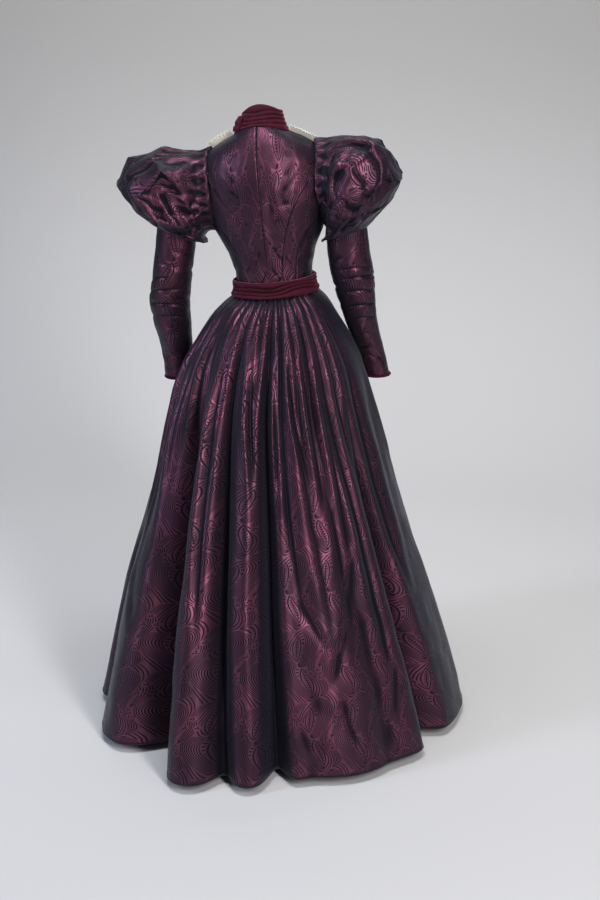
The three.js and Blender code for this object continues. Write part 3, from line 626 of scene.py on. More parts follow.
# seams of the left half, columns: height, angle; their upper ends run on inside the armhole
backCurve = [
    (1000, 21), (1060, 22), (1130, 25), (1200, 34), (1250, 48), (1290, 64), (1320, 80), (1333, 90),
    (1336, 90),
    (1420, 90),
]
sideBack = [(1000, 44), (1060, 44), (1120, 47), (1160, 54), (1180, 62), (1200, 78), (1290, 88)]
sideFront = [
    (1000, 108), (1080, 107), (1200, 107), (1300, 107), (1320, 95), (1333, 90), (1336, 90), (1420, 90),
]


def bodyPoint(angle, height):
    # level sections up to the neck, which rises at the back and falls at the front
    halfWidth, back, front = (along(bodySections, c, height) for c in (1, 2, 3))
    radius = sectionRadius(halfWidth, back, front, angle)
    deep = np.cos(angle * rad)
    rise = np.where(deep > 0, bodice["riseBack"], bodice["riseFront"]) * deep * deep
    lifted = height + rise * ease((height - bodice["riseFrom"]) / (bodice["neck"] - bodice["riseFrom"]))
    return roundBody(radius, angle, lifted)


def armAngle(turn):
    # a point on the armhole's edge, by the turn round it from its top towards the back
    y = armhole["halfDepth"] * np.sin(turn)
    height = armhole["height"] + armhole["halfHeight"] * np.cos(turn)
    depth = np.where(y > 0, along(bodySections, 2, height), along(bodySections, 3, height))
    x = along(bodySections, 1, height) * np.sqrt(1 - (y / depth) ** 2)
    return np.degrees(np.arctan2(x, y)), height


def holeSide(height, back):
    # how far the armhole's edge lies from the side at a height, or the side itself above and below the hole
    q = np.clip(1 - ((height - armhole["height"]) / armhole["halfHeight"]) ** 2, 0, 1)
    y = armhole["halfDepth"] * np.sqrt(q) * (1 if back else -1)
    depth = along(bodySections, 2 if back else 3, height)
    x = along(bodySections, 1, height) * np.sqrt(1 - (y / depth) ** 2)
    return np.degrees(np.arctan2(x, y))


def seamTurn(seam, back):
    # where a seam runs into the armhole, as a turn round the hole
    turns = np.linspace(0.02, math.pi, 600) * (1 if back else -1)
    angle, height = armAngle(turns)
    return turns[np.argmin(np.abs(angle - along(seam, 1, height)))]


# each panel's small pulls, with columns as in creased, across and up in millimetres from the seam's foot, and
# how far its cut lies along the damask; a short panel has its own grid
bodicePanels = {
    "Back": {"shift": 336, "creases": [
        (30, 20, 8, 78, 5, 1.3), (44, 60, 20, 120, 6, 1.1), (8, 12, 40, 36, 4, 1.0),
        (70, 250, 118, 285, 7, 1.6),
        (60, 222, 104, 240, 8, 1.4), (50, 196, 92, 196, 9, 1.2), (96, 300, 60, 326, 6, 1.2),
        (24, 150, 62, 170, 9, 0.9), (14, 96, 44, 100, 6, 0.8)]},
    "Front": {"shift": 357, "creases": [
        (30, 24, 70, 50, 5, 1.0), (90, 180, 40, 210, 8, 1.2), (20, 110, 60, 140, 6, 0.9)]},
    "SideBack": {"shift": 420, "columns": 22, "rows": 90, "creases": [
        (4, 10, 24, 40, 4, 1.0), (26, 58, 4, 90, 5, 1.1), (10, 120, 34, 150, 6, 1.0)]},
    "Side": {"shift": 336, "columns": 40, "rows": 64, "creases": [
        (8, 16, 60, 30, 5, 1.1), (70, 50, 20, 72, 6, 1.2), (20, 96, 80, 108, 7, 1.1)]},
}
# the right back panel alone stands out in long soft ridges
bodicePull = [(26, 8, 36, 262, 15, -3.2), (64, 150, 52, 262, 12, -1.6), (8, 40, 14, 150, 9, -1.0)]


def outwards(points):
    # the outward side at each point of a panel
    n = normals(points, False)
    return n * np.sign((n * points * [1, 1, 0]).sum())


def bodicePiece(name, node, hand, angle, height):
    # a panel on the body, with its pulls, a slight unevenness, and a dip along each seam
    panel, mirror = bodicePanels[name], 1 if hand == "left" else -1
    creases = panel["creases"] + (bodicePull if name + hand == "Backright" else [])
    points = bodyPoint(mirror * angle, height)
    s = (angle - angle[:, :1]) * rad * along(bodySections, 1, height)
    t = height - bodice["bottom"]
    out = creased(s + mirror * 3, t + mirror * 4, creases)
    out = out + 0.7 * waves(s, t, 34, 11) + 0.35 * waves(s, t, 15, 12)
    u = np.linspace(0, 1, angle.shape[1])[None, :]
    wide = np.abs(angle[:, -1:] - angle[:, :1]) * rad * along(bodySections, 1, height[:, :1])
    for apart in (u * wide, (1 - u) * wide):
        out = out - bodice["seamDip"] * bell(apart / 1.6) + bodice["seamRidge"] * bell((apart - 5) / 3)
    points = points + outwards(points) * out[..., None]
    cut = np.stack([s + panel["shift"] + (0 if hand == "left" else 21), t * 1.02], -1)
    cloth(f"bodice{name}_{hand}", f"bodice_{node}_{hand}", stance(points), cut, "damask")


def shortPanel(name, backSeam, frontSeam, turns):
    # each column rises from the waist to its own place on the armhole's edge
    u = np.linspace(0, 1, bodicePanels[name]["columns"])[None, :]
    v = np.linspace(0, 1, bodicePanels[name]["rows"])[:, None]
    topAngle, top = armAngle(mix(turns[0], turns[1], u))
    height = mix(bodice["bottom"], top, v)
    gap = seamGap / rad / along(bodySections, 2, height)
    plain = lambda h: mix(along(backSeam, 1, h), along(frontSeam, 1, h), u)
    return plain(height) + (topAngle - plain(top)) * v**3 + mix(gap, -gap, u), height


u = np.linspace(0, 1, bodice["columns"])[None, :]
v = np.linspace(0, 1, bodice["rows"])[:, None]
height = mix(bodice["bottom"], bodice["neck"] - 0.05, v)
gap = seamGap / rad / along(bodySections, 2, height)
inHole = np.abs(height - armhole["height"]) < armhole["halfHeight"]
behind, before = along(backCurve, 1, height), along(sideFront, 1, height)
behind = np.where(inHole, np.minimum(behind, holeSide(height, True)), np.minimum(behind, 90)) - gap
before = np.where(inHole, np.maximum(before, holeSide(height, False)), np.maximum(before, 90)) + gap
# where the three seams that run into the armhole meet its edge
backTurn, sideTurn = seamTurn(backCurve, True), seamTurn(sideBack, True)
frontTurn = seamTurn(sideFront, False) % fullTurn
backEdges, sideEdges = (backTurn, sideTurn), (sideTurn, frontTurn)
for hand in ("left", "right"):
    bodicePiece("Back", "back", hand, mix(gap, behind, u), height + 0 * u)
    bodicePiece("Front", "front", hand, mix(before, 180 - gap, u), height + 0 * u)
    bodicePiece("SideBack", "side_back", hand, *shortPanel("SideBack", backCurve, sideBack, backEdges))
    bodicePiece("Side", "side", hand, *shortPanel("Side", sideBack, sideFront, sideEdges))
print("bodice made")


# the lower sleeves' level sections, columns: height, x, y, half width, half depth
sleeveSections = {
    "left": [
        (780, 257, -99, 29.5, 33), (864, 253, -70, 36.5, 40), (930, 256, -42, 43, 46),
        (989, 257, -22, 47, 49),
        (1050, 247, -6, 46, 48), (1106, 238.5, 0, 45.5, 47), (1190, 227, 4, 45, 46)],
    "right": [
        (796, 220, -112, 31.5, 34), (878, 201, -93, 33, 38), (940, 186, -60, 37, 43),
        (1000, 176, -34, 43, 47),
        (1060, 168, -14, 49, 49), (1114, 160, -2, 48, 47), (1190, 152, 4, 46, 45)],
}
sleeves = {
    "left": {"cuff": 786, "inner": 1130, "outer": 1179, "stand": 1.2, "mirror": 1},
    "right": {"cuff": 803, "inner": 1145, "outer": 1173, "stand": 2.3, "mirror": -1},
    "seams": (24, 206), "tucked": 4, "round": 44, "creased": 1.15, "seamDip": 1.3, "columns": 56, "rows": 122,
}
# their creases, columns as in creased: round the arm in millimetres from its outer side, and height
sleeveCreases = {
    "left": [(0, 1006, 120, 1014, 4, 2.6), (10, 984, 128, 968, 4, 3.0), (-10, 1032, 96, 1046, 5, 2.2),
             (24, 956, 140, 936, 4, 2.2), (16, 1086, 104, 1062, 6, 2.0), (60, 1116, 126, 1086, 6, 2.2),
             (-60, 996, 30, 1004, 5, 2.0), (-50, 950, 34, 940, 5, 1.6), (20, 892, 110, 906, 6, 1.6),
             (30, 846, 100, 838, 6, 1.4), (84, 1000, 160, 980, 5, 2.4), (90, 816, 20, 832, 6, 1.4),
             (100, 1070, 176, 1040, 6, 2.2), (-90, 1010, -20, 990, 6, 2.2), (150, 960, 220, 976, 6, 2.4),
             (170, 1010, 240, 1000, 6, 2.6)],
    "right": [(-30, 1054, 112, 1040, 3.6, 4.4), (-20, 1020, 116, 1010, 3.8, 4.0), (-10, 990, 118, 970, 4, 4.0),
              (10, 1082, 106, 1066, 5, 2.8), (6, 958, 108, 944, 4, 2.6), (-64, 1034, 8, 1040, 5, 2.2),
              (66, 1112, 118, 1078, 6, 2.4), (20, 918, 96, 904, 5, 2.2), (44, 882, 110, 866, 6, 1.8),
              (92, 1034, 170, 1010, 5, 2.8), (16, 842, 90, 856, 6, 1.6), (-50, 966, 10, 978, 5, 1.8),
              (110, 990, 180, 970, 6, 2.4), (150, 1050, 220, 1040, 6, 2.4), (-100, 1000, -30, 1014, 6, 2.4),
              (190, 1000, 250, 990, 6, 2.4)],
}


def sleevePoint(hand, turn, height, out=0.0):
    # turn 0 is the outer side of the arm and turn 90 its back
    x, y, across, deep = (along(sleeveSections[hand], c, height) for c in (1, 2, 3, 4))
    px = sleeves[hand]["mirror"] * (x + (across + out) * np.cos(turn * rad))
    return np.stack(np.broadcast_arrays(px, y + (deep + out) * np.sin(turn * rad), height), -1)


def sleeveEnd(hand, turn):
    # the sleeve's upper edge slants from the arm's inner side to its outer side
    return mix(sleeves[hand]["inner"], sleeves[hand]["outer"], (1 + np.cos(turn * rad)) / 2)


piping = {"height": 6, "stand": 1.5, "swell": 2.2, "wall": 1.0, "columns": 121, "rows": 11}
for hand in ("left", "right"):
    arm = sleeves[hand]
    hind, fore = sleeves["seams"]
    for name, start, end, shift in (("Upper", fore - 360, hind, 0), ("Under", hind, fore, 37)):
        u = np.linspace(0, 1, sleeves["columns"])[None, :]
        v = np.linspace(0, 1, sleeves["rows"])[:, None]
        gap = seamGap / rad / 32
        turn = mix(start + gap, end - gap, u)
        height = mix(arm["cuff"], sleeveEnd(hand, turn) + sleeves["tucked"], v)
        s = turn * rad * sleeves["round"]
        out = sleeves["creased"] * creased(s, height, sleeveCreases[hand], 0.12)
        out = out + 0.9 * waves(s, height, 26, 21) + 0.45 * waves(s, height, 11, 22)
        # a dip along each seam, and a smooth fit at the puff and at the cuff
        apart = np.minimum(u, 1 - u) * (end - start) * rad * sleeves["round"]
        out = out - sleeves["seamDip"] * bell(apart / 1.8) + 0.5 * bell((apart - 4.5) / 2.6)
        out = out * ease((sleeveEnd(hand, turn) - height) / 12) * ease((height - arm["cuff"] + 6) / 16)
        points = sleevePoint(hand, turn, height, out)
        cut = np.stack([s + shift + 13 * arm["mirror"] + 0 * v, height * 1.03], -1)
        cloth(f"sleeve{name}_{hand}", f"sleeve_{name.lower()}_{hand}", points, cut, "damask")

    u = np.linspace(0, 1, piping["columns"])[None, :]
    v = np.linspace(0, 1, piping["rows"])[:, None]
    swell = piping["swell"] * np.sin(math.pi * v) * (1 + 0.12 * waves(u * 400, v * 4, 22, 31))
    height = arm["cuff"] + 0.5 + piping["height"] * v + 0 * u
    points = sleevePoint(hand, 360 * u, height, piping["stand"] + swell)
    cut = np.stack([u * 200 + 0 * v, v * 8 + 0 * u], -1)
    name, node = f"cuffPiping_{hand}", f"cuff_piping_{hand}"
    cloth(name, node, points, cut, "velvet", ring=True, thickness=piping["wall"])
print("lower sleeves made")


# the puffs' sections, a fan from the armhole to the lower sleeve, columns: place, fan angle, how near and
# how far from the hinge, half depth, y
puffSections = {
    "left": [
        (0, 3, 36, 207, 66, 0), (1, 14, 31, 222, 88, 2), (2, 26, 27, 242, 104, 4), (3, 40, 22, 272, 110, 5),
        (4, 54, 17, 261, 108, 5), (5, 63, 14, 230, 96, 4), (6, 66, 12, 180, 78, 3), (7, 67, 18, 146, 58, 2)],
    "right": [
        (0, 2, 38, 216, 66, 0), (1, 9, 29, 240, 88, 2), (2, 20, 16, 253, 104, 4), (3, 34, 5, 255, 110, 5),
        (4, 46, -3, 248, 108, 5), (5, 55, -4, 212, 98, 4), (6, 61, -4, 162, 80, 3), (7, 70, 0, 116, 56, 2)],
}
puffs = {
    "left": {"hinge": (150, 1125), "mirror": 1}, "right": {"hinge": (103, 1141), "mirror": -1},
    "gathers": 21, "gatherDeep": 8, "gatherHead": 0.3, "gatherFoot": 0.24, "head": 0.15, "foot": 0.1,
    "proud": 0.9, "tight": 0.3, "rollUp": 0.10, "rollBack": 0.14, "rollOut": 7,
    "creased": 0.65, "round": 660, "long": 330, "soften": 1, "columns": 245, "rows": 131,
}
# their large hollows and swellings, columns: round in degrees, along from 0 to 1, how far out, half turn,
# half length
puffFolds = {
    "left": [
        (100, 0.21, -13, 46, 0.05), (92, 0.5, -17, 17, 0.2), (52, 0.62, -13, 13, 0.16),
        (128, 0.66, -14, 14, 0.15),
        (28, 0.36, -9, 12, 0.18), (70, 0.28, 8, 16, 0.14), (200, 0.5, -12, 20, 0.2),
        (262, 0.55, -15, 18, 0.22),
        (318, 0.45, -10, 14, 0.18)],
    "right": [
        (92, 0.2, -24, 54, 0.05), (84, 0.54, -17, 16, 0.18), (44, 0.5, -12, 12, 0.2),
        (122, 0.6, -15, 15, 0.16),
        (102, 0.3, 8, 16, 0.14), (18, 0.68, -9, 12, 0.14), (210, 0.52, -12, 20, 0.2),
        (270, 0.46, -15, 18, 0.22),
        (326, 0.6, -10, 14, 0.18)],
}
# their creases, columns as in creased: round and along in millimetres of the full puff
puffCreases = {
    "left": [
        (60, 60, 96, 190, 7, 7), (110, 40, 150, 150, 7, 6), (150, 70, 236, 176, 8, 8),
        (200, 30, 214, 120, 6, 6),
        (120, 200, 60, 290, 7, 7), (170, 210, 140, 310, 7, 6), (230, 190, 200, 300, 8, 7),
        (20, 120, 84, 230, 8, 6),
        (-60, 90, 10, 180, 8, 6), (-30, 220, 30, 300, 7, 5), (90, 150, 190, 150, 7, 5),
        (260, 60, 262, 190, 8, 7),
        (180, 270, 250, 250, 6, 5), (40, 40, 20, 110, 6, 5)],
    "right": [
        (70, 50, 112, 190, 7, 8), (120, 40, 128, 160, 6, 7), (160, 60, 226, 200, 8, 7),
        (210, 40, 196, 130, 7, 6),
        (110, 220, 60, 300, 7, 7), (160, 200, 176, 320, 8, 7), (220, 210, 200, 310, 7, 6),
        (20, 100, 70, 230, 8, 6),
        (-50, 70, 10, 190, 8, 6), (-20, 230, 40, 290, 7, 5), (84, 170, 180, 150, 7, 6),
        (250, 80, 270, 200, 8, 7),
        (140, 110, 210, 100, 6, 4), (30, 50, 36, 120, 6, 5)],
    "unseen": [
        (400, 80, 440, 240, 10, 7), (500, 60, 470, 220, 10, 7), (560, 120, 600, 260, 9, 6),
        (340, 120, 360, 280, 10, 7)],
}


def puffPoint(hand, turn, place, detail):
    # a fan of sections hinged under the arm, its first row on the armhole and its last on the lower sleeve
    hinge, mirror = puffs[hand]["hinge"], puffs[hand]["mirror"]
    at = place * 7
    fan, near, far, deep, y = (along(puffSections[hand], c, at) for c in (1, 2, 3, 4, 5))
    across, depth = np.cos(turn * rad), np.sin(turn * rad)
    out = detail
    for around, middle, by, halfTurn, halfLong in puffFolds[hand]:
        apart = (turn - around + 540) % 360 - 180
        out = out + by * bell(apart / halfTurn) * bell((place - middle) / halfLong)
    gathered = bell(place / puffs["gatherHead"]) + bell((1 - place) / puffs["gatherFoot"])
    ripple = 0.5 + 0.5 * np.cos(puffs["gathers"] * turn * rad + 1.2 * np.sin(3 * turn * rad))
    out = out - puffs["gatherDeep"] * gathered * ripple * (0.3 + 0.7 * ease((1 + across) / 0.8))
    long = (near + far) / 2 + ((far - near) / 2 + out) * across
    free = np.stack([mirror * (hinge[0] + long * np.sin(fan * rad)), y + (deep + out) * depth,
                     hinge[1] + long * np.cos(fan * rad)], -1)
    height = armhole["height"] + (armhole["halfHeight"] - puffs["tight"]) * across
    side = (armhole["halfDepth"] - puffs["tight"]) * depth
    backDepth = np.where(side > 0, along(bodySections, 2, height), along(bodySections, 3, height))
    x = along(bodySections, 1, height) * np.sqrt(1 - (side / backDepth) ** 2) + puffs["proud"]
    head = stance(np.stack(np.broadcast_arrays(mirror * x, side, height), -1))
    # above the underarm the gathered head stands over the armhole's edge as a roll
    above = ease((across + 0.75) / 0.7)
    height = armhole["height"] + armhole["halfHeight"] * across * (1 + puffs["rollUp"] * above)
    side = armhole["halfDepth"] * depth * (1 + puffs["rollBack"] * above)
    backDepth = np.where(side > 0, along(bodySections, 2, height), along(bodySections, 3, height))
    x = along(bodySections, 1, height) * np.sqrt(np.clip(1 - (side / backDepth) ** 2, 0.05, 1))
    away = np.stack(np.broadcast_arrays(x, side * 1.6, (height - armhole["height"]) * 0.8), -1)
    away = away / np.linalg.norm(away, axis=-1, keepdims=True) * puffs["rollOut"]
    away = away * (1 - 0.45 * ripple * above)[..., None]
    roll = [mirror * (x + away[..., 0]), side + away[..., 1], height + away[..., 2]]
    roll = stance(np.stack(np.broadcast_arrays(*roll), -1))
    head = mix(head, roll, (bell((place - 0.055) / 0.035) * above)[..., None])
    foot = sleevePoint(hand, turn, sleeveEnd(hand, turn), sleeves[hand]["stand"])
    point = mix(free, head, (1 - ease(place / puffs["head"]))[..., None])
    return mix(point, foot, ease((place - 1 + puffs["foot"]) / puffs["foot"])[..., None])


# crisp silk breaks into flat planes: how many round and along, how far their corners are thrown about (in
# shares of a plane), how far out or in (in millimetres), and how much of it shows
puffPlanes = [
    {"round": 12, "along": 6, "throw": 0.36, "out": 12.0, "share": 0.85, "seed": 3},
    {"round": 21, "along": 11, "throw": 0.38, "out": 7.0, "share": 0.75, "seed": 5},
    {"round": 50, "along": 26, "throw": 0.4, "out": 1.6, "share": 0.5, "seed": 7},
]


def broken(hand, u, v, planes):
    # the same form with its surface drawn straight between scattered points, three to a plane, less the form
    wide, long = planes["round"], planes["along"]
    random = np.random.default_rng(planes["seed"] + (10 if hand == "left" else 30))
    loose = random.uniform(-1, 1, (3, long + 1, wide + 1))
    loose[:, :, -1] = loose[:, :, 0]
    loose[1, [0, -1]] = 0
    cornerU = (np.arange(wide + 1)[None, :] + planes["throw"] * loose[0]) / wide
    cornerV = (np.arange(long + 1)[:, None] + planes["throw"] * loose[1]) / long
    corner = puffPoint(hand, 180 + 360 * cornerU, np.clip(cornerV, 0, 1), 3 + planes["out"] * loose[2])
    i = np.clip(np.floor(u * wide).astype(int), 0, wide - 1) + np.zeros(v.shape, int)
    j = np.clip(np.floor(v * long).astype(int), 0, long - 1) + np.zeros(u.shape, int)
    x, y = (u * wide - i)[..., None], (v * long - j)[..., None]
    a, b, c, d = corner[j, i], corner[j, i + 1], corner[j + 1, i], corner[j + 1, i + 1]
    other = (random.random((long, wide)) < 0.5)[j, i][..., None]
    straight = np.where(x > y, a + (b - a) * x + (d - b) * y, a + (c - a) * y + (d - c) * x)
    crossed = np.where(x + y < 1, a + (b - a) * x + (c - a) * y, d + (c - d) * (1 - x) + (b - d) * (1 - y))
    form = puffPoint(hand, 180 + 360 * u + 0 * v, v + 0 * u, 0)
    return planes["share"] * (np.where(other, straight, crossed) - form)


for hand in ("left", "right"):
    # the grid closes along the underarm seam
    u = np.linspace(0, 1, puffs["columns"])[None, :]
    v = np.linspace(0, 1, puffs["rows"])[:, None]
    turn, place = 180 + 360 * u + 0 * v, v + 0 * u
    s, t = (turn * rad * 105) % puffs["round"], place * puffs["long"]
    creases = puffCreases[hand] + puffCreases["unseen"]
    inner = ease(place / 0.1) * ease((1 - place) / 0.08)
    detail = inner * puffs["creased"] * (creased(s, t, creases) + creased(s - puffs["round"], t, creases))
    away = sum(broken(hand, u, v, planes) for planes in puffPlanes)
    # the planes die out at both gathered ends and along the tight underarm
    under = ease((1.02 + np.cos(turn * rad)) / 0.7)
    away = away * (under * ease((place - 0.03) / 0.16) * ease((1 - place) / 0.14))[..., None]
    for again in range(puffs["soften"]):
        away[1:-1] = (away[:-2] + 2 * away[1:-1] + away[2:]) / 4
        wrapped = np.concatenate([away[:, -2:-1], away, away[:, 1:2]], 1)
        away = (wrapped[:, :-2] + 2 * away + wrapped[:, 2:]) / 4
    points = puffPoint(hand, turn, place, detail) + away
    cut = np.stack([(turn - 180) * rad * 118, place * 360 + 50 * puffs[hand]["mirror"]], -1)
    cloth("puffCloth_" + hand, "puff_" + hand, points, cut, "damask", ring=True)
print("puffs made")


belt = {
    "bottom": 1021, "top": 1056, "stand": 0.9, "wall": 0.8, "folds": 4, "deep": 5.4,
    "columns": 221, "rows": 36,
}


def pleats(v, folds, deep, drift):
    # rounded folds one above another, which wander a little round the body
    return deep * np.abs(np.sin(math.pi * (folds * v + drift * 4 * v * (1 - v)))) ** 0.7


u = np.linspace(0, 1, belt["columns"])[None, :]
v = np.linspace(0, 1, belt["rows"])[:, None]
angle = 360 * u + 0 * v
height = mix(belt["bottom"], belt["top"], v) + 0 * u
# it lies on the skirt's top, whose last three sections are joined straight
skirtTop = np.array(skirtSections[-3:])
half, back, front = (np.interp(height, skirtTop[:, 0], skirtTop[:, c]) + belt["stand"] for c in (1, 2, 3))
wander = 0.5 * np.sin(angle * rad * 2 + 0.6) + 0.35 * np.sin(angle * rad * 5 + 2)
fold = pleats(v, belt["folds"], belt["deep"], wander) * (1 + 0.25 * waves(angle, v * 60, 17, 51))
radius = sectionRadius(half, back, front, angle) + belt["wall"] + fold
points = stance(roundBody(radius, angle, height))
cloth("beltCloth", "belt", points, np.stack([angle * 1.6, height], -1), "velvet", ring=True)

collar = {
    "stand": 0.8, "rise": 46, "topRadius": 42, "topShift": -7, "folds": 5, "deep": 2.4,
    "columns": 161, "rows": 36,
}


def collarPoint(angle, v, out):
    # from the neck's edge the band draws in to a circle and leans a little to one side
    foot = bodyPoint(angle, bodice["neck"] + 0 * angle)
    radius = mix(np.hypot(foot[..., 0], foot[..., 1]), collar["topRadius"], v**0.8)
    point = roundBody(radius + out, angle, foot[..., 2] + collar["stand"] + collar["rise"] * v)
    point[..., 0] += collar["topShift"] * v
    return point


u = np.linspace(0, 1, collar["columns"])[None, :]
v = np.linspace(0, 1, collar["rows"])[:, None]
angle = 360 * u + 0 * v
wander = 0.5 * np.sin(angle * rad * 2 + 1.6) + 0.3 * np.sin(angle * rad * 3 + 1)
fold = 0.6 + pleats(v, collar["folds"], collar["deep"], wander) + 0.8 * waves(angle, v * 60, 13, 61)
points = stance(collarPoint(angle, v + 0 * u, fold))
cloth("collarCloth", "collar", points, np.stack([angle, v * 50 + 0 * u], -1), "velvet", ring=True)

bow = {
    "angle": 50, "halfWide": 8, "out": 9, "height": 31, "foot": 2, "stand": 1.2, "swell": 0.3, "pinch": 0.25,
    "columns": 41, "rows": 26,
}
u = np.linspace(0, 1, bow["columns"])[None, :]
v = np.linspace(0, 1, bow["rows"])[:, None]
turn = 2 * math.pi * u + 0 * v
rise = (bow["foot"] + bow["height"] * v + 0 * u) / collar["rise"]
near = collarPoint(bow["angle"] + 0 * rise, rise, 0.4 + 3 * np.abs(np.sin(3 * math.pi * rise)) ** 0.7)
swell = 1 - bow["swell"] * (1 - np.sin(math.pi * v))
stand = bow["stand"] + bow["out"] / 2 * (1 - np.cos(turn)) * swell + 0.6 * np.sin(v * 19 + turn)
outside = np.array([math.sin(bow["angle"] * rad), math.cos(bow["angle"] * rad), 0])
sideways = np.array([outside[1], -outside[0], 0])
wide = bow["halfWide"] * np.sin(turn) * (1 - bow["pinch"] * np.cos(turn))
points = stance(near + outside * stand[..., None] + sideways * wide[..., None])
cut = np.stack([turn * 8, v * bow["height"] + 0 * u], -1)
cloth("collarBow", "collar_bow", points, cut, "velvet", ring=True)
print("velvet made")


lace = {
    "stand": 0.9, "thickness": 0.6, "bottom": 1300,
    "frillOut": 9, "frillBack": 8, "frillUp": 6, "frillWide": 0.16,
    "ruffle": 0.7, "ruffleUp": 0.8, "waves": 23, "columns": 48, "rows": 140,
}
# columns: height, angle of the edge that lies along the shoulder
laceEdge = [(1290, 127), (1300, 127), (1322, 123), (1336, 116), (1354, 84), (1420, 82)]
for hand, mirror in (("left", 1), ("right", -1)):
    # its edge along the shoulder seam stands up as a frill in even waves
    u = np.linspace(0, 1, lace["columns"])[None, :]
    v = np.linspace(0, 1, lace["rows"])[:, None]
    height = mix(lace["bottom"], bodice["neck"] - 0.5, v) + 0 * u
    angle = mix(along(laceEdge, 1, height), 180 - 0.2, u)
    points = bodyPoint(mirror * angle, height)
    shoulder = ease((v - 0.42) / 0.14) * ease((1.02 - v) / 0.05)
    edge = ease(1 - u / lace["frillWide"]) * shoulder
    wave = np.sin(v * 2 * math.pi * lace["waves"] + 0.7 * np.sin(v * 17))
    stand = lace["stand"] + lace["thickness"] + edge * (lace["frillOut"] + lace["ruffle"] * wave)
    points = points + outwards(points) * stand[..., None]
    points[..., 1] += edge * edge * lace["frillBack"]
    points[..., 2] += edge * (lace["frillUp"] + lace["ruffleUp"] * wave)
    cut = np.stack([angle * rad * 80, height * 1.3], -1)
    points = stance(points)
    cloth("laceYoke_" + hand, "lace_yoke_" + hand, points, cut, "lace", thickness=lace["thickness"])
print("lace made")

# a round cord carried along the skirt's edge, a little below it
braid = {"drop": 3.0, "out": 1.6, "inward": 0.6, "gap": 0.4, "wall": 0.4, "columns": 441, "rows": 9}
u = np.linspace(0, 1, braid["columns"])[None, :]
ring = np.linspace(-0.5 * math.pi, 1.5 * math.pi, braid["rows"])[:, None]
line = skirtPoint(mix(-180, 180, u), skirt["hem"] + 0 * u)
side = normals(np.concatenate([line, line + [0, 0, 1]]), False)[:1]
side = side * np.sign((side * line * [1, 1, 0]).sum())
points = line + side * (np.cos(ring) * braid["out"] - braid["inward"])[..., None]
points[..., 2] = skirt["hem"] - braid["gap"] + braid["drop"] / 2 * (np.sin(ring) - 1)
cut = np.stack([u * 2700 + 0 * ring, ring * 2 + 0 * u], -1)
cloth("hemBraid", "hem_braid", stance(points), cut, "braid", ring=True, thickness=braid["wall"])
print("braid made")


# the paper's colour runs from low at the floor to high at its top, a painted shade
stage = {
    "floor": -1.384, "near": 5.0, "far": -3.2, "bend": 1.6, "top": 5.0, "halfWidth": 7.0,
    "low": (0.66, 0.655, 0.66, 1), "high": (0.42, 0.41, 0.40, 1), "shadeFrom": -1.38, "shadeTo": 0.35,
}


def paperFinish():
    # seamless paper whose colour darkens towards its top as painted shade
    f = Finish("palePaper", Roughness=0.9)
    place = f.node("ShaderNodeTexCoord", output="Object")
    parts = f.node("ShaderNodeSeparateXYZ", None, {0: place}, output=2)
    shade = parts.step(stage["shadeFrom"], stage["shadeTo"])
    f.feed("Base Color", f.blendColour(shade, stage["low"], stage["high"]))
    # the sheet is clear from behind, so that the front of the dress can be seen past it
    f.feed("Alpha", 1.0 - f.node("ShaderNodeNewGeometry", output=6))
    return f.material


# the paper's profile: along the floor, round a quarter turn, and up; then a strip of quads along it
turn = np.linspace(0, math.pi / 2, 25)
profileY = np.r_[stage["near"], stage["far"] + stage["bend"] * (1 - np.sin(turn)), stage["far"]]
profileZ = np.r_[stage["floor"], stage["floor"] + stage["bend"] * (1 - np.cos(turn)), stage["top"]]
sides = np.array([-stage["halfWidth"], stage["halfWidth"]])
strip = np.stack(np.broadcast_arrays(sides[None, :], profileY[:, None], profileZ[:, None]), -1)
faces = 2 * np.arange(len(profileY) - 1)[:, None] + [0, 2, 3, 1]
floorMesh = bpy.data.meshes.new("floor")
floorMesh.from_pydata(strip.reshape(-1, 3).tolist(), [], faces.tolist())
floorMesh.shade_smooth()
floorMesh.materials.append(paperFinish())
floor = bpy.data.objects.new("floor", floorMesh)
bpy.context.collection.objects.link(floor)


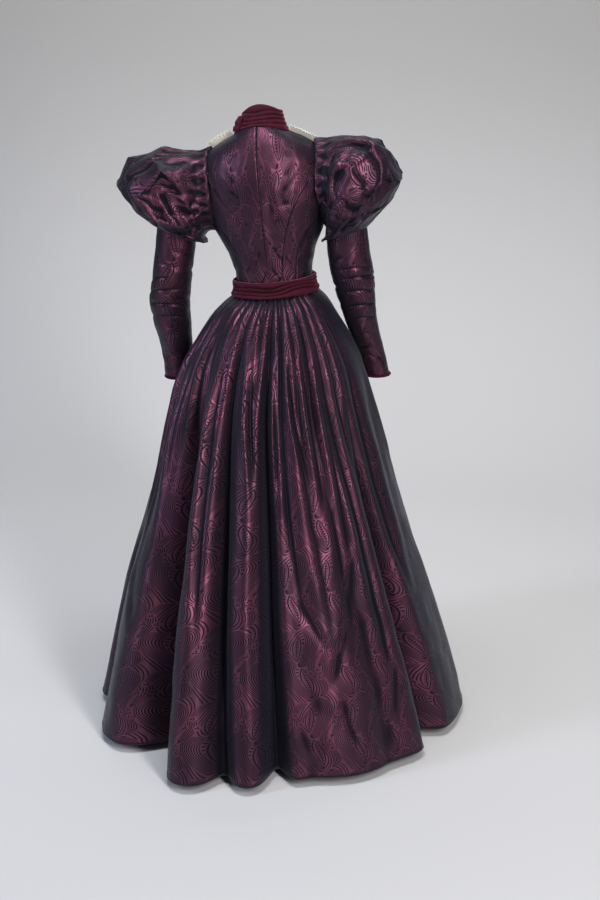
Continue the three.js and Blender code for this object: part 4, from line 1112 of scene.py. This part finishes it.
lights = {
    "keyBox": {"place": (-2.1, 3.3, 1.15), "target": (0, 0, -0.35), "size": (0.5, 2.4), "power": 120,
               "colour": (1.0, 0.97, 0.96)},
    "leftBox": {"place": (3.0, 1.9, 0.9), "target": (0, 0, -0.4), "size": (0.6, 2.0), "power": 54,
                "colour": (0.68, 0.80, 1.0)},
    "topBox": {"place": (0, 0.5, 2.9), "target": (0, 0.1, -0.8), "size": (1.6, 1.2), "power": 78,
               "colour": (1, 1, 1)},
    "backdropLight": {"place": (0.2, -1.4, 1.3), "target": (0, -2.6, -1.3), "size": (3.0, 0.5), "power": 24,
                      "colour": (1.0, 0.98, 0.95)},
}
for name, light in lights.items():
    lamp = bpy.data.lights.new(name, "AREA")
    lamp.shape = "RECTANGLE"
    lamp.size, lamp.size_y = light["size"]
    lamp.energy, lamp.color = light["power"], light["colour"]
    softBox = bpy.data.objects.new(name, lamp)
    bpy.context.collection.objects.link(softBox)
    softBox.location = light["place"]
    facing = Vector(light["target"]) - Vector(light["place"])
    softBox.rotation_euler = facing.to_track_quat("-Z", "Y").to_euler()

room = {"colour": (0.66, 0.74, 0.88, 1), "strength": 0.12}
world = bpy.data.worlds.new("room")
world.use_nodes = True
background = world.node_tree.nodes["Background"]
background.inputs["Color"].default_value = room["colour"]
background.inputs["Strength"].default_value = room["strength"]
bpy.context.scene.world = world

camera = {"place": (-0.514, 3.468, 0.340), "azimuth": 7.0, "down": 17.2, "lens": 62.28, "film": 36}
lens = bpy.data.cameras.new("camera")
lens.lens, lens.sensor_width, lens.sensor_fit = camera["lens"], camera["film"], "AUTO"
viewer = bpy.data.objects.new("camera", lens)
bpy.context.collection.objects.link(viewer)
a, d = camera["azimuth"] * rad, camera["down"] * rad
look = Vector((math.sin(a) * math.cos(d), -math.cos(a) * math.cos(d), -math.sin(d)))
viewer.location = camera["place"]
viewer.rotation_euler = look.to_track_quat("-Z", "Y").to_euler()
bpy.context.scene.camera = viewer
bpy.context.scene.view_settings.view_transform = "Standard"
print("stage made")
